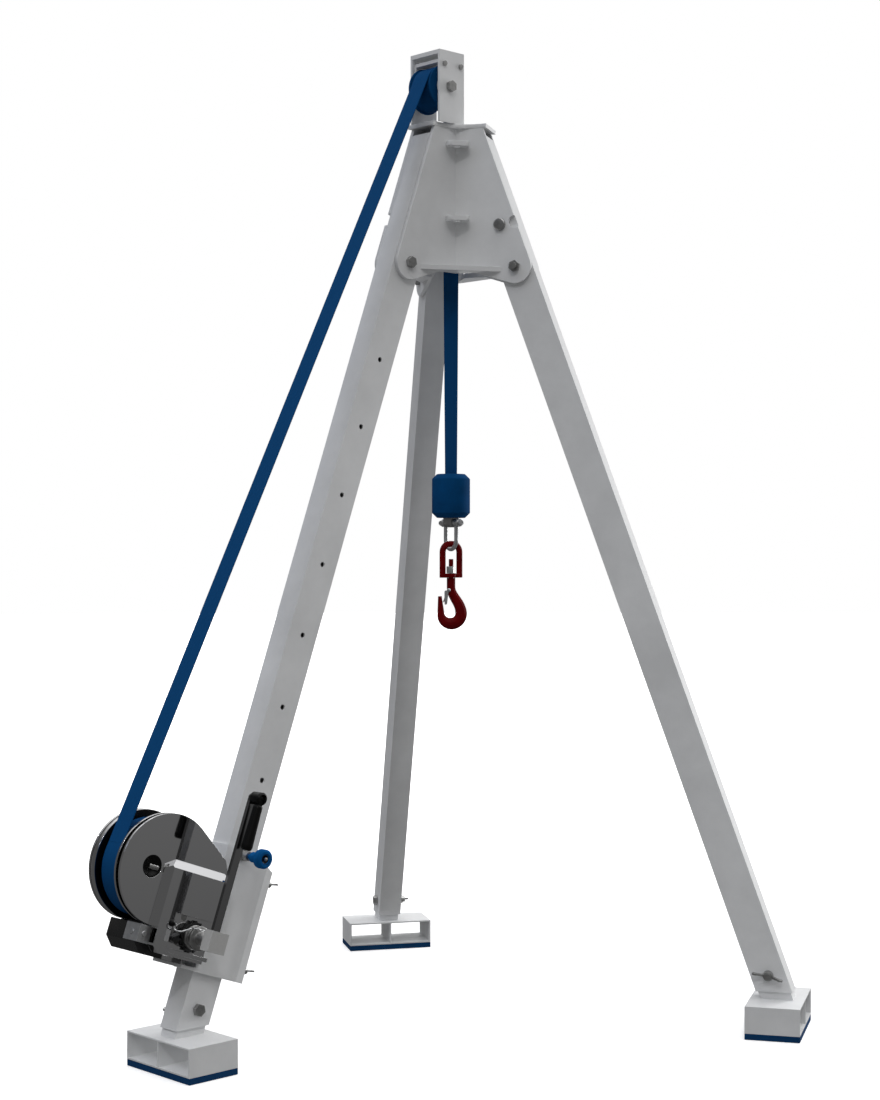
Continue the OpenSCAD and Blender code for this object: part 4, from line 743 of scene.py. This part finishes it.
# %% Angle strip under the side plates
strip = [(-116, -179), (-104, -179), (-104, -169.8), (-106, -169.8), (-106, -177), (-116, -177)]
strip_rims = [[by_drum(*corner, end) for corner in strip] for end in (-51, 51)]
flat_piece("base_angle", strip_rims, 0.4, 2, mirror_sheet, "carrier")
print("angle strip", round(1000 * (strip_rims[1][0] - strip_rims[0][0]).length), "mm long")

# %% Index pin's end and a black dish of painted shade
knob_low, knob_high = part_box("plunger_knob")
pin_at = Vector((knob_high.x, (knob_low.y + knob_high.y) / 2, (knob_low.z + knob_high.z) / 2))
# The black dish round the pin's end is painted shade: it stands for the dark recess in the knob's face.
dish = [(4.1, -3.9), (9.4, -3.9), (12.4, -0.5), (11.6, 0), (9.4, -3.2), (4.1, -3.4)]
pin_end = [(0.4, -0.9), (4.0, -0.9), (4.05, -0.2), (3.4, 0.3), (0.4, 0.5)]
turned("knob_recess_painted_shade", dish, pin_at, right, black_abs, "plunger")
turned("index_pin_end", pin_end, pin_at, right, plated, "plunger")
print("index pin at", round(pin_at.z, 3), "m")

# %% Rivets and flaps of the latch
rivet_at = Vector(joints["latch_open"]["pos_m"])
rivet_axis = Vector(joints["latch_open"]["axis"])
to_point = Vector((-1, -1, 0)).normalized()
upright = Vector((0, 0, 1))
rivet = [(0.4, 11.4), (3.8, 11.4), (4.0, 13), (3.4, 13.9), (2, 14.5), (0.4, 14.6)]
flap = [(2.4, -1), (9, -1), (10.6, -3.5), (10.6, -20), (10.2, -33.5), (9.2, -35), (6, -35), (4.8, -33.5),
        (2, -9)]
for name, outward in (("left", -rivet_axis), ("right", rivet_axis)):
    turned("latch_rivet_" + name, rivet, rivet_at, outward, galvanised, "latch")
    flap_rims = [[rivet_at + (to_point * a + upright * b + outward * off) / 1000 for a, b in flap]
                 for off in (11.62, 12.8)]
    flat_piece("latch_flap_" + name, flap_rims, 0.3, 1, galvanised, "latch")
print("rivets at", round(rivet_at.z, 3), "m")

# %% [markdown]
# ## The forged bail
# The bail is one forging: a round bow whose ends run into a bar, with an eye in the middle of the bar for the
# hook's shank. The solid has a plain square bar, so a swept bow and a bar with round ends stand for it.

# %% The bow
bow_half = 24
rod_radius = 7.5
bend = 20
bail_low, bail_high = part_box("bail")
low = 1000 * bail_low.z
top = 1000 * bail_high.z - rod_radius
bail_turn = math.radians(79)
bail_along = Vector((math.cos(bail_turn), math.sin(bail_turn), 0))
bail_across = Vector((-math.sin(bail_turn), math.cos(bail_turn), 0))
bow = [(-bow_half, low + 5), (-bow_half, low + 20), (-bow_half, low + 35), (-bow_half, top - 26)]
for degrees in range(0, 91, 15):
    angle = math.radians(degrees)
    bow.append((bend - bow_half - bend * math.cos(angle), top - bend + bend * math.sin(angle)))
bow += [(-a, b) for a, b in reversed(bow)]
bow_places = [(bail_along * a + upright * b) / 1000 for a, b in bow]
bow_piece = drawn_rod("bail_bow", bow_places, (rod_radius, rod_radius), enamel, "bail",
                      bail_across)
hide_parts("bail")
print("bail", round(top - low, 1), "mm high")

# %% The bar with its eye
eye_radius = 12.0
shank_hole = 5.7
bar_sides = 120


def reach(angle):
    """Distance from the shank to the bar's edge: a bar with round ends, and a round eye in its middle."""
    c, s = abs(math.cos(angle)), abs(math.sin(angle))
    if rod_radius * c <= bow_half * s:
        return max(rod_radius / s, eye_radius)
    return bow_half * c + math.sqrt(rod_radius ** 2 - (bow_half * s) ** 2)


shape = bmesh.new()
rings = []
for inset, up in ((None, 0), (1.5, 0), (0.4, 0.4), (0, 1.5), (0, 8.5), (0.4, 9.6), (1.5, 10), (None, 10)):
    ring = []
    for k in range(bar_sides):
        angle = math.tau * k / bar_sides
        far = shank_hole if inset is None else reach(angle) - inset
        away_from_shank = far * (bail_along * math.cos(angle) + bail_across * math.sin(angle))
        ring.append(shape.verts.new((away_from_shank + upright * (low + up)) / 1000))
    rings.append(ring)
for ring, other in zip(rings, rings[1:] + rings[:1]):
    for k in range(bar_sides):
        after = (k + 1) % bar_sides
        shape.faces.new((ring[k], ring[after], other[after], other[k]))
bar_piece = put("bail_bar", shape, enamel, "bail")
print("bar", 2 * (bow_half + rod_radius), "mm long")

# %% [markdown]
# ## Ends of the legs
# Each leg is cut level with the floor, so its outer wall is longer than its inner one. A collar with the
# tube's rounded section runs from the tube's square end down to that level cut, and hides most of the
# foot's stem.

# %% Level ends
half_deep = 0.04
overlap = 0.012


def rounded_box(deep, wide, corner):
    """Places round a box section from its middle, with round corners."""
    places = []
    for turn, (a, b) in enumerate(((1, 1), (-1, 1), (-1, -1), (1, -1))):
        for step in range(5):
            angle = math.radians(90 * turn + 22.5 * step)
            places.append((a * (deep - corner) + corner * math.cos(angle),
                           b * (wide - corner) + corner * math.sin(angle)))
    return places


def leg_end(leg):
    """A collar round the lower end of a leg, cut level at the tube's lowest corner."""
    pivot = Vector(joints["leg_" + leg + "_fold"]["pos_m"])
    radial = Vector((pivot.x, pivot.y, 0)).normalized()
    up = up_leg.z * upright - up_leg.y * radial
    out = up_leg.y * upright + up_leg.z * radial
    side = up.cross(out)
    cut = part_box("leg_tube_" + leg)[0].z - pivot.z
    top = (cut + half_deep * out.z) / up.z + overlap
    outer = rounded_box(half_deep + 0.0003, 0.0303, 0.003)
    inner = rounded_box(0.0362, 0.0262, 0.001)
    shape = bmesh.new()
    loops = []
    for outline, level in ((outer, False), (outer, True), (inner, True), (inner, False)):
        loop = []
        for n, t in outline:
            height = (cut - out.z * n) / up.z if level else top
            loop.append(shape.verts.new(pivot + out * n + side * t + up * height))
        loops.append(loop)
    for loop, other in zip(loops, loops[1:] + loops[:1]):
        for i in range(len(outer)):
            after = (i + 1) % len(outer)
            shape.faces.new((loop[i], loop[after], other[after], other[i]))
    return put("leg_end_" + leg, shape, white_coat, "leg_" + leg)


for leg in ("w", "r", "b"):
    leg_end(leg)
print("small pieces:", len(bpy.data.meshes) - len(nodes))

# %% [markdown]
# ## The floor
# The picture has no room: the tripod stands on white. The floor shows white and takes faint contact shadows,
# but it is kept out of the bounces, because the dark undersides in the picture show that little light comes
# back from below. It is matt paper that glows a little, more so further away, where it meets the backdrop.

# %% Floor
just_below = (0, 0, -0.0005)
bpy.ops.mesh.primitive_circle_add(vertices=128, radius=30, fill_type="NGON", location=just_below)
floor = bpy.context.object
floor.name = "studio_floor"
paper, tree, shader, place = finish_named("matt_white_paper")
fibre = add(tree, "ShaderNodeTexNoise", {"Vector": place, "Scale": per_size(300), "Detail": 3.0})
tone = add(tree, "ShaderNodeMix", {"Factor": fibre.outputs["Fac"], "A": linear("#f7f7f7"),
                                   "B": linear("#fbfbfb")}, data_type="RGBA")
tree.links.new(tone.outputs["Result"], shader.inputs["Base Color"])
shader.inputs["Roughness"].default_value = 0.9
shader.inputs["Specular IOR Level"].default_value = 0.1
shader.inputs["Emission Color"].default_value = linear("#ffffff")
away = add(tree, "ShaderNodeVectorMath", {0: place}, operation="LENGTH")
glow = add(tree, "ShaderNodeMapRange", {"Value": away.outputs["Value"], "From Min": 1.2, "From Max": 4.0,
                                        "To Min": 0.42, "To Max": 1.0})
tree.links.new(glow.outputs["Result"], shader.inputs["Emission Strength"])
floor.data.materials.append(paper)
floor.visible_diffuse = False
floor.visible_glossy = False
print("floor:", paper.name)

# %% [markdown]
# ## The surround
# Matt paint and polished steel need different surrounds. Paint gathers light from the whole sky, which is
# brightest straight up. Steel mirrors one spot of it, and in the picture it mirrors a dim room with bright
# panels high up and the white backdrop behind the tripod. The light path node tells the two kinds of ray
# apart, and shows plain white behind the tripod.

# %% Light from the sky
world = bpy.data.worlds.new("studio_surround")
bpy.context.scene.world = world
world.use_nodes = True
tree = world.node_tree
direction = add(tree, "ShaderNodeTexCoord").outputs["Generated"]
height = add(tree, "ShaderNodeSeparateXYZ", {"Vector": direction})
up = add(tree, "ShaderNodeMath", {0: height.outputs["Z"], 1: 0.0}, operation="MAXIMUM")
squared = add(tree, "ShaderNodeMath", {0: up.outputs["Value"], 1: 2.0}, operation="POWER")
below = add(tree, "ShaderNodeMath", {0: height.outputs["Z"], 1: 0.0}, operation="LESS_THAN")
bounce = add(tree, "ShaderNodeMath", {0: below.outputs["Value"], 1: 0.24}, operation="MULTIPLY")
sky = add(tree, "ShaderNodeMath", {0: squared.outputs["Value"], 1: 1.6, 2: bounce.outputs["Value"]},
          operation="MULTIPLY_ADD")
print("sky nodes:", len(tree.nodes))

# %% What the steel mirrors
level = add(tree, "ShaderNodeMapRange", {"Value": height.outputs["Z"], "From Min": -1.0, "From Max": 1.0})
room = add(tree, "ShaderNodeValToRGB", {"Fac": level.outputs["Result"]})
room.color_ramp.elements[0].position = 0.35
room.color_ramp.elements[0].color = (0.1, 0.1, 0.1, 1)
room.color_ramp.elements[1].position = 0.86
room.color_ramp.elements[1].color = (2.2, 2.2, 2.22, 1)
for at, grey in ((0.47, 0.22), (0.52, 0.11), (0.68, 0.2)):
    stop = room.color_ramp.elements.new(at)
    stop.color = (grey, grey, grey, 1)
behind = add(tree, "ShaderNodeMapRange", {"Value": height.outputs["Y"], "From Min": -0.5, "From Max": 0.3})
dim = add(tree, "ShaderNodeMix", {"Factor": behind.outputs["Result"], "A": (0.13, 0.13, 0.13, 1),
                                  "B": room.outputs["Color"]}, data_type="RGBA")
backdrop_at = (-0.71, 0.704, 0.0)
towards_backdrop = add(tree, "ShaderNodeVectorMath", {0: direction, 1: backdrop_at}, operation="DOT_PRODUCT")
paper_at = add(tree, "ShaderNodeMapRange", {"Value": towards_backdrop.outputs["Value"], "From Min": 0.9,
                                            "From Max": 0.98})
mirrored = add(tree, "ShaderNodeMix", {"Factor": paper_at.outputs["Result"], "A": dim.outputs["Result"],
                                       "B": (0.8, 0.8, 0.8, 1)}, data_type="RGBA")
print("tones of the room:", len(room.color_ramp.elements))

# %% One surround for both
ray = add(tree, "ShaderNodeLightPath").outputs
lit = add(tree, "ShaderNodeMix", {"Factor": ray["Is Glossy Ray"], "A": sky.outputs["Value"],
                                  "B": mirrored.outputs["Result"]}, data_type="RGBA")
shown = add(tree, "ShaderNodeMix", {"Factor": ray["Is Camera Ray"], "A": lit.outputs["Result"],
                                    "B": (1.0, 1.0, 1.0, 1)}, data_type="RGBA")
tree.links.new(shown.outputs["Result"], tree.nodes["Background"].inputs["Color"])
print("surround nodes:", len(tree.nodes))

# %% [markdown]
# ## The lamps
# A panel behind the tripod draws the narrow rim of light on the right of each leg, a weak cool panel opens
# the shadows on the left, and a weak sun gives the soft key. The polished cover in the picture shows no hook,
# bail or ball, so those are kept out of mirror images.

# %% Lamps
def panel(name, at, towards, size, power, colour):
    """A soft light panel that points at a place."""
    lamp = bpy.data.lights.new(name, "AREA")
    lamp.shape = "RECTANGLE"
    lamp.size, lamp.size_y = size
    lamp.energy = power
    lamp.color = linear(colour)[:3]
    holder = bpy.data.objects.new(name, lamp)
    holder.location = at
    holder.rotation_euler = (Vector(towards) - Vector(at)).to_track_quat("-Z", "Y").to_euler()
    bpy.context.scene.collection.objects.link(holder)
    return holder


middle = (0, 0, 1.0)
panel("light_rim", (1.2, 6.5, 2.6), middle, (2.5, 4.0), 252, "#ffffff")
panel("light_left", (-1.8, -4.6, 5.2), middle, (3.0, 3.0), 40, "#dfe9ff")
sun = bpy.data.lights.new("light_key", "SUN")
sun.energy = 0.31
sun.angle = math.radians(4)
key = bpy.data.objects.new("light_key", sun)
key.rotation_euler = Vector((-0.62, 0.66, -0.82)).to_track_quat("-Z", "Y").to_euler()
bpy.context.scene.collection.objects.link(key)
for unmirrored in (nodes["hook"], bow_piece, bar_piece, ball_piece):
    unmirrored.visible_glossy = False
bpy.context.scene.view_settings.view_transform = "Standard"
print("lamps:", len(bpy.data.lights))
